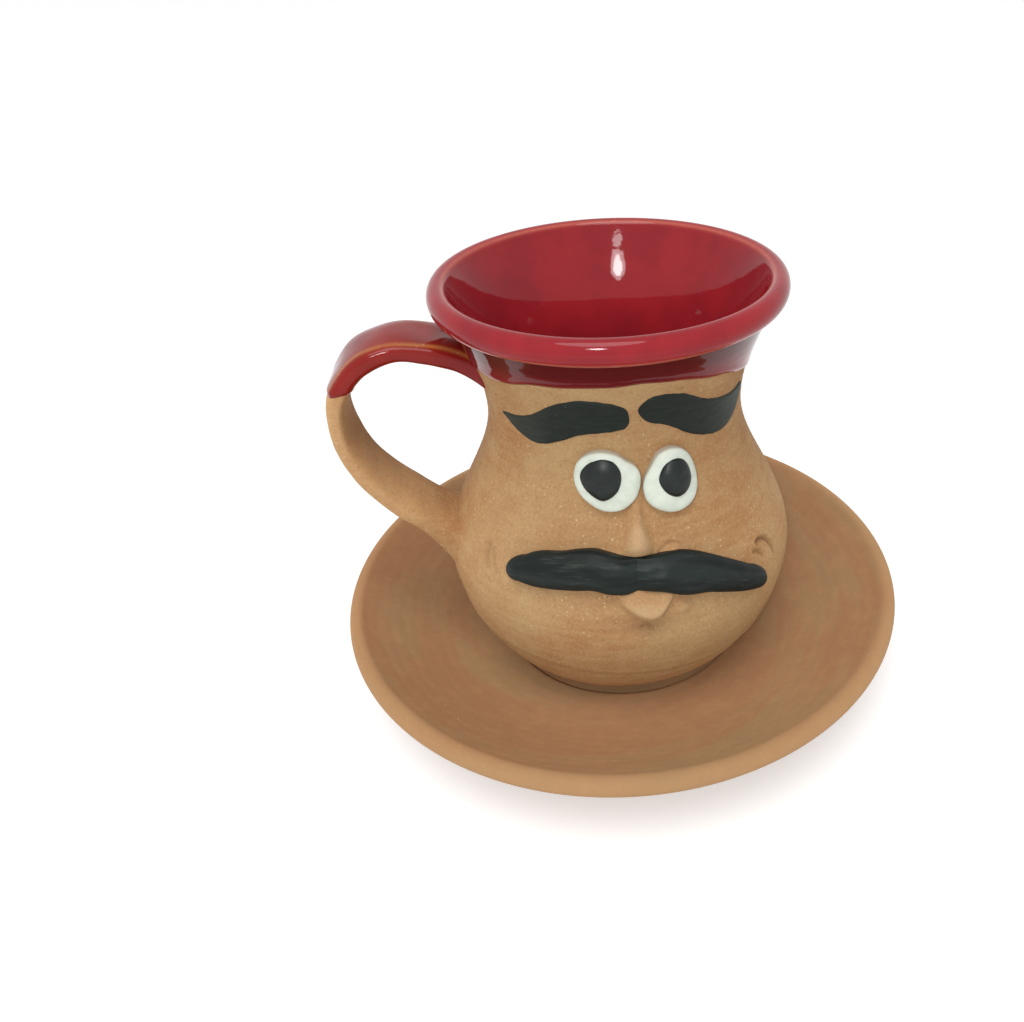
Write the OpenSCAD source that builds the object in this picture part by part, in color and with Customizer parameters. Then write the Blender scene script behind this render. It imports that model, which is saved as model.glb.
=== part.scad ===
// Hand-built clay cup with a glazed lip, a pulled strap handle and an applied clay face,
// standing in its matching saucer. Millimetres, +Z up, the origin under the middle of the saucer.
// The face looks towards -Y and the handle points towards -X. Left and right are the viewer's.

/* [Cup] */
// Height of the cup from its foot to the top of the lip
cup_h = 78; // [74:1:86]
// Diameter across the rolled lip, glaze included
lip_d = 62; // [58:1:68]
// Width of the rolled lip, glaze included
lip_w = 3.7; // [3.2:0.1:4.6]
// Height of the rolled lip, glaze included
lip_h = 4.9; // [4:0.1:6]
// Diameter of the belly
belly_d = 68; // [62:1:76]
// Height of the widest part of the belly above the foot
belly_z = 24; // [20:1:28]
// Diameter of the neck at its narrowest
neck_d = 46.8; // [42:0.2:52]
// Distance from the top of the lip down to the narrowest part of the neck
neck_drop = 23.3; // [20:0.1:26]
// Diameter of the foot
foot_d = 40; // [32:1:44]
// Width of the ring that the cup stands on
foot_ring_w = 5; // [3:0.5:8]
// Depth of the hollow inside the foot ring
foot_hollow = 0.8; // [0.4:0.1:1.6]
// Thickness of the thrown wall
wall = 3.2; // [2.4:0.1:4]
// Thickness of the floor inside
floor_t = 4.4; // [3:0.1:6]

/* [Glaze] */
// Thickness of the fired glaze
glaze_t = 0.3; // [0.2:0.05:0.5]
// Distance from the top of the lip down to the glaze border on the neck
glaze_drop = 10.2; // [8:0.1:12]

/* [Handle] */
// Distance from the cup's axis to the middle of the strap at its outermost
handle_reach = 49.2; // [44:0.5:56]
// Distance from the top of the lip down to the middle of the strap at its top
handle_drop = 9.8; // [9:0.1:12]
// Height of the middle of the strap where it runs out on the belly
handle_low_z = 23.5; // [19:0.5:28]
// Width of the strap at its top
handle_top_w = 12; // [9:0.5:15]
// Width of the strap above the belly
handle_low_w = 14.5; // [10:0.5:17]
// Thickness of the strap
handle_t = 3.5; // [2.8:0.1:4.4]

/* [Eyebrows] */
// Length of an eyebrow across the face
brow_w = 20; // [16:0.5:22]
// Height of the left eyebrow from its top to its lowest edge
left_brow_h = 10.4; // [7:0.2:12]
// Height of the right eyebrow, which droops more
right_brow_h = 12; // [7:0.2:13]
// Thickness of the painted slip
brow_t = 0.35; // [0.2:0.05:0.6]
// Gap between the two eyebrows
brow_gap = 1; // [0.6:0.1:3]
// Bare clay between the glaze border and the eyebrows
brow_drop = 1.8; // [1.2:0.1:3]

/* [Eyes] */
// Width of the left eye
left_eye_w = 10.5; // [8:0.1:11]
// Width of the right eye
right_eye_w = 9.5; // [8:0.1:11]
// Height of an eye
eye_h = 10.9; // [9:0.1:12]
// Height of an eye's dome above the clay
eye_t = 2.3; // [1.6:0.1:3]
// Gap between the two eyes
eye_gap = 0.7; // [0.4:0.1:2]
// Height from the top of the eyebrows down to the top of the left eye
eye_drop = 9.8; // [9.4:0.1:12]
// How much lower the right eye was pressed on
right_eye_drop = 1.1; // [0:0.1:2]
// How far the eyes and the nose sit to the right of the middle
eye_aside = 0.8; // [0:0.1:1.5]
// Width of the left pupil
left_pupil_w = 6.3; // [4:0.1:7]
// Height of the left pupil
left_pupil_h = 7.1; // [4:0.1:8]
// Width of the right pupil
right_pupil_w = 5.2; // [4:0.1:6.4]
// Height of the right pupil
right_pupil_h = 6.6; // [4:0.1:8]
// Thickness of a pupil
pupil_t = 0.7; // [0.4:0.1:1.2]

/* [Nose] */
// Height of the nose from its bridge to its base
nose_h = 9.2; // [8:0.2:11]
// Width of the nose across its tip
nose_w = 6.8; // [5:0.2:9]
// Height of the tip above the clay
nose_t = 3.4; // [2:0.1:5]
// Length of the bridge that runs up between the eyes
nose_bridge = 3; // [1:0.2:5]

/* [Moustache] */
// Length of the left half along the clay
left_tache_w = 22.2; // [19:0.2:26]
// Length of the right half along the clay
right_tache_w = 23; // [19:0.2:26]
// Height of the moustache at its fullest
tache_h = 6.6; // [5:0.2:8]
// Thickness of the moustache
tache_t = 3.2; // [2:0.1:4.5]
// How far the seam between the halves sits to the left of the middle
tache_aside = 1.6; // [0:0.1:2.5]
// Clearance between the moustache and the clay parts round it
tache_clear = 0.2; // [0.1:0.05:0.5]

/* [Lower lip] */
// Width of the lower lip
mouth_w = 8.6; // [7:0.2:11]
// Height of the lower lip
mouth_h = 4.4; // [3:0.2:6]
// Height of the lower lip above the clay
mouth_t = 2.4; // [1.5:0.1:4]

/* [Saucer] */
// Diameter across the saucer's rim
saucer_d = 113; // [106:1:124]
// Height of the saucer from the table to the top of its rim
saucer_h = 18; // [16:0.5:22]
// Thickness of the rounded rim
rim_t = 4.7; // [4:0.1:6]
// Thickness of the saucer under the cup
saucer_floor = 4.6; // [3.8:0.1:6]
// Diameter of the ring that the saucer stands on
saucer_foot_d = 68; // [60:1:76]
// Width of that ring
saucer_foot_w = 5; // [3:0.5:8]
// Height of that ring below the dish
saucer_foot_h = 1.2; // [0.8:0.1:2]
// Depth of the well that keeps the cup centred
well_depth = 0.8; // [0.5:0.1:1.2]
// Clearance between the cup's foot and the edge of the well
well_gap = 4.5; // [3.5:0.5:7]

/* [Hidden] */

$fn = 96;
belly_r = belly_d / 2;
neck_r = neck_d / 2;
neck_z = cup_h - neck_drop;
glaze_z = cup_h - glaze_drop;
handle_top_z = cup_h - handle_drop;
foot_r = foot_d / 2;
well_r = foot_r + well_gap;
// Depth by which an applied part is pressed past the surface before it is trimmed to it
press_in = wall / 2;
// Least size that two surfaces differ by, used to step along the profile
tiny = wall / 400;

// Steps along each curve of a profile
curve_steps = 12;
// Steps along the lip and the saucer's rim
bead_steps = 18;

// Point at share t along a cubic curve
function bez(p, t) = pow(1 - t, 3) * p[0] + 3 * pow(1 - t, 2) * t * p[1]
    + 3 * (1 - t) * t * t * p[2] + pow(t, 3) * p[3];
function curve(p, steps) = [for (i = [0:steps]) bez(p, i / steps)];
function tail(list) = [for (i = [1:len(list) - 1]) list[i]];
function back(list) = [for (i = [len(list) - 1:-1:0]) list[i]];
function unit(v) = v / norm(v);
// Point at share t between b and c of a smooth run through a, b, c and d
function smooth(a, b, c, d, t) = (2 * b + (c - a) * t + (2 * a - 5 * b + 4 * c - d) * t * t
    + (3 * b - 3 * c + d - a) * t * t * t) / 2;
// Smooth open run through rows of numbers
function through(rows, steps) = let(n = len(rows) - 1) concat(
    [for (k = [0:n - 1], i = [0:steps - 1])
        smooth(rows[max(k - 1, 0)], rows[k], rows[k + 1], rows[min(k + 2, n)], i / steps)],
    [rows[n]]);
// Smooth closed outline through points
function loop(p, steps) = let(n = len(p)) [for (k = [0:n - 1], i = [0:steps - 1])
    smooth(p[(k + n - 1) % n], p[k], p[(k + 1) % n], p[(k + 2) % n], i / steps)];
// Outline moved outwards by d, where the material lies to the left of the run
function moved(p, d) = let(n = len(p) - 1) [for (i = [0:n])
    let(u = unit(p[min(i + 1, n)] - p[max(i - 1, 0)])) p[i] + d * [u[1], -u[0]]];

// Profile of the clay, outside, from the foot to the underside of the lip
clay_lip_a = lip_w / 2 - glaze_t;
clay_lip_b = lip_h / 2 - glaze_t;
lip_r = lip_d / 2 - lip_w / 2;
lip_z = cup_h - lip_h / 2;
// Angles on the lip where the outer and the inner wall run into it
lip_angle_from = -112;
lip_angle_to = 205;
function lip_at(a) = [lip_r + clay_lip_a * cos(a), lip_z + clay_lip_b * sin(a)];
// How far the ends of each curve keep their direction, as shares of its height or width
foot_shares = [0.37, 0.05, 0.55];
waist_shares = [0.33, 0.36];
flare_shares = [0.45, 0.16, 0.24];
outer_low = curve([[foot_r, 0],
    [foot_r + (belly_r - foot_r) * foot_shares[0], belly_z * foot_shares[1]],
    [belly_r, belly_z * (1 - foot_shares[2])],
    [belly_r, belly_z]], curve_steps);
outer_mid = curve([[belly_r, belly_z],
    [belly_r, belly_z + (neck_z - belly_z) * waist_shares[0]],
    [neck_r, neck_z - (neck_z - belly_z) * waist_shares[1]],
    [neck_r, neck_z]], curve_steps);
lip_start = lip_at(lip_angle_from);
outer_top = curve([[neck_r, neck_z],
    [neck_r, neck_z + (lip_start[1] - neck_z) * flare_shares[0]],
    [lip_start[0] - (lip_start[0] - neck_r) * flare_shares[2],
        lip_start[1] - (lip_start[1] - neck_z) * flare_shares[1]],
    lip_start], curve_steps);
outer = concat(outer_low, tail(outer_mid), tail(outer_top));
radii = [for (p = outer) [p[1], p[0]]];
// Radius of the clay at height z above the foot, and its slope there
function skin_r(z) = lookup(z, radii);
function skin_slope(z) = (skin_r(z + wall / 4) - skin_r(z - wall / 4)) / (wall / 2);

// Profile of the clay, inside, from the lip to the middle of the floor
lip_end = lip_at(lip_angle_to);
inner_neck = [neck_r - wall, neck_z];
inner_belly = [belly_r - wall, belly_z + wall / 4];
inner_foot = [foot_r - wall, floor_t];
inner_shares = [0.28, 0.45];
bowl_shares = [0.55, 0.5];
inner_top = curve([lip_end,
    lip_end - [(lip_end[0] - inner_neck[0]) * inner_shares[0],
        (lip_end[1] - inner_neck[1]) * inner_shares[0]],
    inner_neck + [0, (lip_end[1] - inner_neck[1]) * inner_shares[1]],
    inner_neck], curve_steps);
inner_mid = curve([inner_neck,
    inner_neck - [0, (inner_neck[1] - inner_belly[1]) * waist_shares[1]],
    inner_belly + [0, (inner_neck[1] - inner_belly[1]) * waist_shares[0]],
    inner_belly], curve_steps);
inner_low = curve([inner_belly,
    inner_belly - [0, (inner_belly[1] - inner_foot[1]) * bowl_shares[0]],
    inner_foot + [(inner_belly[0] - inner_foot[0]) * bowl_shares[1], 0],
    inner_foot], curve_steps);

// Clay surface that the glaze covers, from its border over the lip to the floor's middle
lip_angles = [for (i = [1:bead_steps])
    lip_angle_from + (lip_angle_to - lip_angle_from) * i / bead_steps];
glazed_outside = concat([[skin_r(glaze_z), glaze_z]],
    [for (p = outer) if (p[1] > glaze_z + tiny) p],
    [for (a = lip_angles) if (a <= 90) lip_at(a)]);
glazed_inside = concat([for (a = lip_angles) if (a > 90) lip_at(a)],
    tail(inner_top), tail(inner_mid), tail(inner_low), [[0, floor_t]]);
glazed = concat(glazed_outside, glazed_inside);
bare = [for (p = outer) if (p[1] < glaze_z - tiny) p];
glaze_skin = moved(glazed, glaze_t);
under_foot = [[0, foot_hollow], [foot_r - foot_ring_w - foot_hollow, foot_hollow],
    [foot_r - foot_ring_w, 0]];

// Whole outer form of the cup, glaze included, as one solid body without its hollow
envelope = concat([[0, 0]], bare, [glazed[0]],
    [for (i = [0:len(glazed_outside) - 1]) glaze_skin[i]],
    [[0, cup_h]]);

// Place on the clay: a degrees round from the face's middle, z above the foot, h proud of it
function on_clay(a, z, h) = let(s = skin_slope(z), n = norm([1, s]), r = skin_r(z) + h / n)
    [r * sin(a), -r * cos(a), z - h * s / n];
// The same for a place u across and v up from a middle at angle a and height z
function spot(mid, u, v, h) = on_clay(mid[0] + u / skin_r(mid[1]) * 180 / PI, mid[1] + v, h);

// Faces between rings of points that are as long as each other, with both ends closed
function ring_faces(rings, n) = concat(
    [for (k = [0:rings - 2], i = [0:n - 1]) [k * n + i, k * n + (i + 1) % n,
        (k + 1) * n + (i + 1) % n]],
    [for (k = [0:rings - 2], i = [0:n - 1]) [k * n + i, (k + 1) * n + (i + 1) % n,
        (k + 1) * n + i]],
    [for (i = [1:n - 2]) [0, i + 1, i]],
    [for (i = [1:n - 2]) [(rings - 1) * n, (rings - 1) * n + i, (rings - 1) * n + i + 1]]);

// Steps across a pressed-on part
arch_steps = 9;
// How full the section of a pressed-on part is: lower is fuller
arch_share = 0.62;
// Height of a pressed-on part along its edge
edge_t = glaze_t / 2;
// Lump of clay that follows the cup. Each row holds where one edge lies (u, v), where the
// other lies (u, v), and how far the middle stands proud of what the lump lies on. under(u, v)
// is the height there of what it lies on, above the cup's clay.
module lump(mid, rows, under = function(u, v) 0, depth = press_in) {
    rings = [for (row = rows)
        let(a = [row[0], row[1]], b = [row[2], row[3]], c = (a + b) / 2, e = (b - a) / 2)
        concat([spot(mid, a[0], a[1], under(a[0], a[1]) - depth)],
            [for (i = [0:arch_steps]) let(t = 180 * i / arch_steps - 90, q = c + e * sin(t))
                spot(mid, q[0], q[1], under(q[0], q[1])
                    + max(row[4] * pow(max(cos(t), 0), arch_share), edge_t))],
            [spot(mid, b[0], b[1], under(b[0], b[1]) - depth)])];
    polyhedron([for (ring = rings, p = ring) p], ring_faces(len(rings), arch_steps + 3));
}

// Rows of a rounded oval, w wide, h high and t thick
oval_steps = 14;
// Shares of the oval's half width, height and thickness at each step across it
function oval(w, h, t) = [for (k = [0:oval_steps])
    let(g = 170 * k / oval_steps + 5, x = -cos(g), y = sin(g))
    [w / 2 * x, -h / 2 * y, w / 2 * x, h / 2 * y, t * pow(y, arch_share)]];

module on_saucer() {
    translate([0, 0, saucer_floor]) children();
}

module envelope_solid() {
    rotate_extrude() polygon(envelope);
}

// Saucer, thrown thick, with a turned foot ring below and a shallow well above
rim_r = saucer_d / 2 - rim_t / 2;
rim_z = saucer_h - rim_t / 2;
// Angles on the rim where the underside and the dish run into it
rim_angle_from = -38;
rim_angle_to = 146;
dish_shares = [0.38, 0.22, 0.25];
under_shares = [0.3, 0.26, 0.36];
function rim_at(a) = [rim_r + rim_t / 2 * cos(a), rim_z + rim_t / 2 * sin(a)];
saucer_foot_r = saucer_foot_d / 2;
rim_low = rim_at(rim_angle_from);
rim_in = rim_at(rim_angle_to);
dish_z = saucer_floor + well_depth;
underside = concat(
    [[0, saucer_foot_h], [saucer_foot_r - saucer_foot_w - saucer_foot_h, saucer_foot_h],
        [saucer_foot_r - saucer_foot_w, 0], [saucer_foot_r, 0]],
    curve([[saucer_foot_r + saucer_foot_h, saucer_foot_h],
        [saucer_foot_r + (rim_low[0] - saucer_foot_r) * under_shares[0], saucer_foot_h],
        rim_low - [(rim_low[0] - saucer_foot_r) * under_shares[1], rim_low[1] * under_shares[2]],
        rim_low], curve_steps));
dish = concat(
    curve([rim_in,
        rim_in - [(rim_in[0] - well_r) * dish_shares[1], (rim_in[1] - dish_z) * 2 * dish_shares[2]],
        [well_r + well_depth + (rim_in[0] - well_r) * dish_shares[0], dish_z],
        [well_r + well_depth, dish_z]], curve_steps),
    [[well_r, saucer_floor], [0, saucer_floor]]);

module saucer() {
    color([0.72, 0.5, 0.34]) rotate_extrude() polygon(concat(underside,
        [for (i = [1:bead_steps - 1])
            rim_at(rim_angle_from + (rim_angle_to - rim_angle_from) * i / bead_steps)],
        dish));
}

module cup_body() {
    color([0.75, 0.55, 0.38]) on_saucer() rotate_extrude()
        polygon(concat(under_foot, bare, glazed));
}

module cup_glaze() {
    color([0.55, 0.06, 0.1]) on_saucer() rotate_extrude()
        polygon(concat(glazed, back(glaze_skin)));
}

// Path of the strap's middle from the neck to the belly. Each row gives, as shares, the way
// out to handle_reach, the way up to handle_top_z, the width and the thickness.
handle_path_shares = [
    [-0.04, 0.86, 0.25, 1.5],
    [0.17, 0.945, 0.1, 1.2],
    [0.38, 0.99, 0, 1.03],
    [0.6, 1, 0.05, 1],
    [0.82, 0.945, 0.2, 1],
    [0.975, 0.815, 0.4, 1],
    [1, 0.66, 0.6, 1],
    [0.915, 0.5, 0.8, 1.03],
    [0.75, 0.355, 1, 1.08],
    [0.54, 0.232, 0.85, 1.25],
    [0.345, 0.11, 0.4, 2.1],
    [0.23, 0, 0.3, 3.1]];
handle_steps = 4;
handle_path = through([for (s = handle_path_shares) [
    neck_r + s[0] * (handle_reach - neck_r),
    handle_low_z + s[1] * (handle_top_z - handle_low_z),
    handle_top_w + s[2] * (handle_low_w - handle_top_w),
    s[3] * handle_t]], handle_steps);
// Points round the strap, and how square its section is: lower is squarer
strap_points = 20;
strap_share = 0.5;
function strap_ring(k, grow) = let(n = len(handle_path) - 1, s = handle_path[k],
    a = handle_path[max(k - 1, 0)], b = handle_path[min(k + 1, n)],
    u = unit([b[0] - a[0], b[1] - a[1]]))
    [for (i = [0:strap_points - 1])
        let(g = 360 * (i + 0.5) / strap_points,
            x = (s[2] / 2 + grow) * sign(cos(g)) * pow(abs(cos(g)), strap_share),
            y = (s[3] / 2 + grow) * sign(sin(g)) * pow(abs(sin(g)), strap_share))
        [-(s[0] + y * -u[1]), x, s[1] + y * u[0]]];

module handle() {
    rings = len(handle_path);
    color([0.74, 0.52, 0.34]) on_saucer() difference() {
        polyhedron([for (k = [0:rings - 1], p = strap_ring(k, 0)) p],
            ring_faces(rings, strap_points));
        envelope_solid();
    }
}

// Share of the strap's steps that the glaze covers, from the neck
glazed_strap_share = 0.42;
module handle_glaze() {
    n = strap_points;
    rings = floor(len(handle_path) * glazed_strap_share);
    inner = rings * n;
    last = (rings - 1) * n;
    color([0.5, 0.1, 0.06]) on_saucer() difference() {
        polyhedron(concat([for (k = [0:rings - 1], p = strap_ring(k, glaze_t)) p],
            [for (k = [0:rings - 1], p = strap_ring(k, 0)) p]),
            concat(
                [for (k = [0:rings - 2], i = [0:n - 1]) let(j = (i + 1) % n)
                    [k * n + i, k * n + j, (k + 1) * n + j]],
                [for (k = [0:rings - 2], i = [0:n - 1]) let(j = (i + 1) % n)
                    [k * n + i, (k + 1) * n + j, (k + 1) * n + i]],
                [for (k = [0:rings - 2], i = [0:n - 1]) let(j = (i + 1) % n)
                    [inner + k * n + i, inner + (k + 1) * n + j, inner + k * n + j]],
                [for (k = [0:rings - 2], i = [0:n - 1]) let(j = (i + 1) % n)
                    [inner + k * n + i, inner + (k + 1) * n + i, inner + (k + 1) * n + j]],
                [for (i = [0:n - 1]) let(j = (i + 1) % n) [j, i, inner + i]],
                [for (i = [0:n - 1]) let(j = (i + 1) % n) [j, inner + i, inner + j]],
                [for (i = [0:n - 1]) let(j = (i + 1) % n)
                    [last + i, last + j, inner + last + j]],
                [for (i = [0:n - 1]) let(j = (i + 1) % n)
                    [last + i, inner + last + j, inner + last + i]]));
        envelope_solid();
    }
}

// Eyebrows: outlines as shares of an eyebrow's width, out from the face's middle, and of its
// height, up from its lowest edge
left_brow_shares = [[0.02, 0.6], [0.05, 0.44], [0.16, 0.375], [0.4, 0.3], [0.53, 0.165],
    [0.69, 0.02], [0.785, 0], [0.88, 0.09], [0.95, 0.23], [1, 0.35], [0.89, 0.42],
    [0.78, 0.54], [0.62, 0.82], [0.5, 0.94], [0.38, 0.99], [0.2, 0.95], [0.055, 0.82]];
right_brow_shares = [[0, 0.78], [0.05, 0.62], [0.12, 0.54], [0.22, 0.48], [0.32, 0.37],
    [0.42, 0.24], [0.52, 0.14], [0.615, 0.065], [0.75, 0], [0.86, 0.02], [0.95, 0.15],
    [0.99, 0.34], [1, 0.54], [0.9, 0.53], [0.79, 0.57], [0.68, 0.63], [0.57, 0.725],
    [0.47, 0.84], [0.375, 0.94], [0.235, 1], [0.12, 1], [0.04, 0.915]];
brow_steps = 3;
brow_top_z = glaze_z - brow_drop;
brow_low_z = brow_top_z - max(left_brow_h, right_brow_h) - wall;
brow_skin = [for (p = outer) if (p[1] > brow_low_z && p[1] < glaze_z - tiny) p];

// side is -1 for the left eyebrow and 1 for the right
module brow(side, h, shares) {
    color([0.1, 0.1, 0.09]) on_saucer() intersection() {
        rotate_extrude() polygon(concat(brow_skin, back(moved(brow_skin, brow_t))));
        rotate([90, 0, 0]) linear_extrude(height = belly_r)
            polygon(loop([for (s = shares) [side * (brow_gap / 2 + s[0] * brow_w),
                brow_top_z - h + s[1] * h]], brow_steps));
    }
}

module left_eyebrow() {
    brow(-1, left_brow_h, left_brow_shares);
}

module right_eyebrow() {
    brow(1, right_brow_h, right_brow_shares);
}

// Angle round the cup that an arc of length u covers at height z
function round_by(u, z) = u / skin_r(z) * 180 / PI;

// Eyes: domed white pellets that nearly touch, each with a black pupil pressed on
left_eye_z = brow_top_z - eye_drop - eye_h / 2;
right_eye_z = left_eye_z - right_eye_drop;
left_eye_mid = [round_by(eye_aside - (eye_gap + left_eye_w) / 2, left_eye_z), left_eye_z];
right_eye_mid = [round_by(eye_aside + (eye_gap + right_eye_w) / 2, right_eye_z), right_eye_z];

module eye(mid, w) {
    lump(mid, oval(w, eye_h, eye_t));
}

module eye_white(mid, w) {
    color([0.9, 0.93, 0.88]) on_saucer() difference() {
        eye(mid, w);
        envelope_solid();
    }
}

module left_eye_white() {
    eye_white(left_eye_mid, left_eye_w);
}

module right_eye_white() {
    eye_white(right_eye_mid, right_eye_w);
}

// Where each pupil lies off its eye's middle, as shares of the eye's width and height
left_pupil_shares = [-0.09, 0.06];
right_pupil_shares = [0, 0.045];

// Pupil w wide and h high on an eye eye_w wide: its underside follows the eye's dome
module pupil(mid, eye_w, shares, w, h) {
    du = shares[0] * eye_w;
    dv = shares[1] * eye_h;
    dome = function(u, v) eye_t
        * pow(max(1 - pow(2 * (u + du) / eye_w, 2) - pow(2 * (v + dv) / eye_h, 2), 0),
            arch_share / 2);
    color([0.08, 0.09, 0.09]) on_saucer() difference() {
        lump(mid + [round_by(du, mid[1]), dv], oval(w, h, pupil_t), dome, eye_t / 2);
        eye(mid, eye_w);
    }
}

module left_pupil() {
    pupil(left_eye_mid, left_eye_w, left_pupil_shares, left_pupil_w, left_pupil_h);
}

module right_pupil() {
    pupil(right_eye_mid, right_eye_w, right_pupil_shares, right_pupil_w, right_pupil_h);
}

// Nose: a ridge pinched from a pellet of clay, wide and proud at its tip. Each row gives, as
// shares, the way down from the bridge, the half width and the height.
nose_rows_shares = [[0, 0.12, 0.08], [0.1, 0.2, 0.2], [0.25, 0.26, 0.3], [0.42, 0.36, 0.42],
    [0.58, 0.56, 0.6], [0.72, 0.82, 0.84], [0.84, 1, 1], [0.93, 0.92, 0.92], [1, 0.6, 0.5]];
nose_top_z = left_eye_z - eye_h / 2 + nose_bridge;
nose_low_z = nose_top_z - nose_h;

module nose_lump() {
    lump([round_by(eye_aside, nose_low_z), nose_low_z], [for (s = through(nose_rows_shares, 2))
        [-s[1] * nose_w / 2, (1 - s[0]) * nose_h, s[1] * nose_w / 2, (1 - s[0]) * nose_h,
            s[2] * nose_t]]);
}

module nose() {
    color([0.76, 0.56, 0.4]) on_saucer() difference() {
        nose_lump();
        envelope_solid();
    }
}

// Moustache: two rolls of clay pressed together under the nose. Each row gives, as shares,
// the way out from the seam, the lower edge, the upper edge and the thickness; edges are
// measured from the moustache's middle in shares of tache_h.
left_tache_shares = [[0, -0.35, 0.29, 0.7], [0.1, -0.42, 0.39, 0.92], [0.2, -0.4, 0.53, 1],
    [0.31, -0.34, 0.62, 1], [0.44, -0.35, 0.6, 0.98], [0.57, -0.37, 0.5, 0.94],
    [0.74, -0.42, 0.35, 0.88], [0.88, -0.43, 0.16, 0.78], [0.96, -0.4, -0.02, 0.6],
    [1, -0.32, -0.2, 0.3]];
right_tache_shares = [[0, -0.35, 0.29, 0.7], [0.09, -0.41, 0.32, 0.92], [0.18, -0.5, 0.38, 1],
    [0.28, -0.63, 0.42, 1], [0.37, -0.72, 0.36, 1], [0.48, -0.79, 0.21, 0.98],
    [0.6, -0.93, -0.05, 0.94], [0.71, -1.12, -0.29, 0.9], [0.83, -1.3, -0.52, 0.8],
    [0.93, -1.45, -0.9, 0.6], [1, -1.36, -1.22, 0.3]];
// Share of tache_h by which the moustache's middle lies below the nose
tache_drop_share = 0.46;
tache_z = nose_low_z - tache_clear - tache_drop_share * tache_h;

module tache_lump(side, w, shares) {
    lump([round_by(-tache_aside, tache_z), tache_z], [for (s = through(shares, 2))
        let(near = side > 0 ? s[1] : s[2], far = side > 0 ? s[2] : s[1])
        [side * s[0] * w, near * tache_h, side * s[0] * w, far * tache_h, s[3] * tache_t]]);
}

module tache(side, w, shares) {
    color([0.09, 0.1, 0.1]) on_saucer() difference() {
        tache_lump(side, w, shares);
        envelope_solid();
        nose_lump();
    }
}

module left_moustache() {
    tache(-1, left_tache_w, left_tache_shares);
}

module right_moustache() {
    tache(1, right_tache_w, right_tache_shares);
}

// Lower lip: a small pellet tucked under the moustache
mouth_z = tache_z - tache_drop_share * tache_h - tache_clear - mouth_h / 2;

module lower_lip() {
    color([0.77, 0.58, 0.42]) on_saucer() difference() {
        lump([0, mouth_z], oval(mouth_w, mouth_h, mouth_t));
        envelope_solid();
        tache_lump(-1, left_tache_w, left_tache_shares);
        tache_lump(1, right_tache_w, right_tache_shares);
    }
}

saucer();
cup_body();
cup_glaze();
handle();
handle_glaze();
left_eyebrow();
right_eyebrow();
left_eye_white();
right_eye_white();
left_pupil();
right_pupil();
nose();
left_moustache();
right_moustache();
lower_lip();
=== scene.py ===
import math

import bpy
import numpy as np
from mathutils import Matrix, Vector, noise
from mathutils.bvhtree import BVHTree


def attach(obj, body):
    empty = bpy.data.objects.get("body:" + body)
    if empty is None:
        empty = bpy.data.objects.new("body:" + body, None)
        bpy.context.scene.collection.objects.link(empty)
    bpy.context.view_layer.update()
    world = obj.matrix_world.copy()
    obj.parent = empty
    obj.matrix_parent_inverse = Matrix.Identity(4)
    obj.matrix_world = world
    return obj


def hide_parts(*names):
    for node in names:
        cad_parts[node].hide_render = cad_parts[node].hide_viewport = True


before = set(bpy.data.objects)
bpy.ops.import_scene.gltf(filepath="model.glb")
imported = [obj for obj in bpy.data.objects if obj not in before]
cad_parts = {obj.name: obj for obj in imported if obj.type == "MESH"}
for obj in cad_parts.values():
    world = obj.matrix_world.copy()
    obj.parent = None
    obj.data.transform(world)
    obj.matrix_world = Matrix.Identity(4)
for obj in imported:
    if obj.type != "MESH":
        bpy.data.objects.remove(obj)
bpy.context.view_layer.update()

# Clay cup with a glazed lip and an applied face, standing in its saucer.
# Sizes below are in millimetres, heights are above the cup's foot, and MM turns them to metres.
MM = 0.001

CUP_H = 78.0
LIP_D = 62.0
LIP_W = 3.7
LIP_H = 4.5
BELLY_R = 34.0
BELLY_Z = 24.0
NECK_R = 23.4
NECK_Z = 54.7
FOOT_R = 20.0
FOOT_RING_W = 5.0
FOOT_HOLLOW = 0.8
WALL = 3.2
FLOOR_T = 4.4
GLAZE_T = 0.3
GLAZE_Z = 67.8
SAUCER_R = 56.5
SAUCER_H = 18.0
RIM_T = 3.6
SAUCER_FLOOR = 4.6
SAUCER_FOOT_R = 34.0
SAUCER_FOOT_W = 5.0
SAUCER_FOOT_H = 1.2
WELL_DEPTH = 0.8
WELL_R = 24.5


# Camera

def place_camera():
    """The camera of the photograph: above the cup, a little to the left of its face"""
    data = bpy.data.cameras.new("camera")
    data.sensor_width = 36
    data.lens = 29.88
    data.shift_x = -0.125
    data.shift_y = -0.0205
    data.clip_start = 0.01
    data.clip_end = 20
    camera = put_in_scene("camera", data)
    right = Vector((0.98453, -0.17335, -0.02549)).normalized()
    forward = Vector((0.12966, 0.81866, -0.55945)).normalized()
    up = right.cross(forward).normalized()
    right = forward.cross(up)
    turn = Matrix((right, up, -forward)).transposed().to_4x4()
    camera.matrix_world = Matrix.Translation((-0.01795, -0.14064, 0.13234)) @ turn
    bpy.context.scene.camera = camera
    bpy.context.scene.view_settings.view_transform = "Standard"


# Nodes

class Wire:
    """An output socket that Python arithmetic can be done with"""

    def __init__(self, kit, socket):
        self.kit = kit
        self.socket = socket

    def other(self, name):
        return Wire(self.kit, self.socket.node.outputs[name])

    def __add__(self, value):
        return self.kit.maths("ADD", self, value)

    def __sub__(self, value):
        return self.kit.maths("SUBTRACT", self, value)

    def __rsub__(self, value):
        return self.kit.maths("SUBTRACT", value, self)

    def __mul__(self, value):
        return self.kit.maths("MULTIPLY", self, value)

    def __truediv__(self, value):
        return self.kit.maths("DIVIDE", self, value)

    def __pow__(self, value):
        return self.kit.maths("POWER", self, value)

    __radd__ = __add__
    __rmul__ = __mul__


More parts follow.
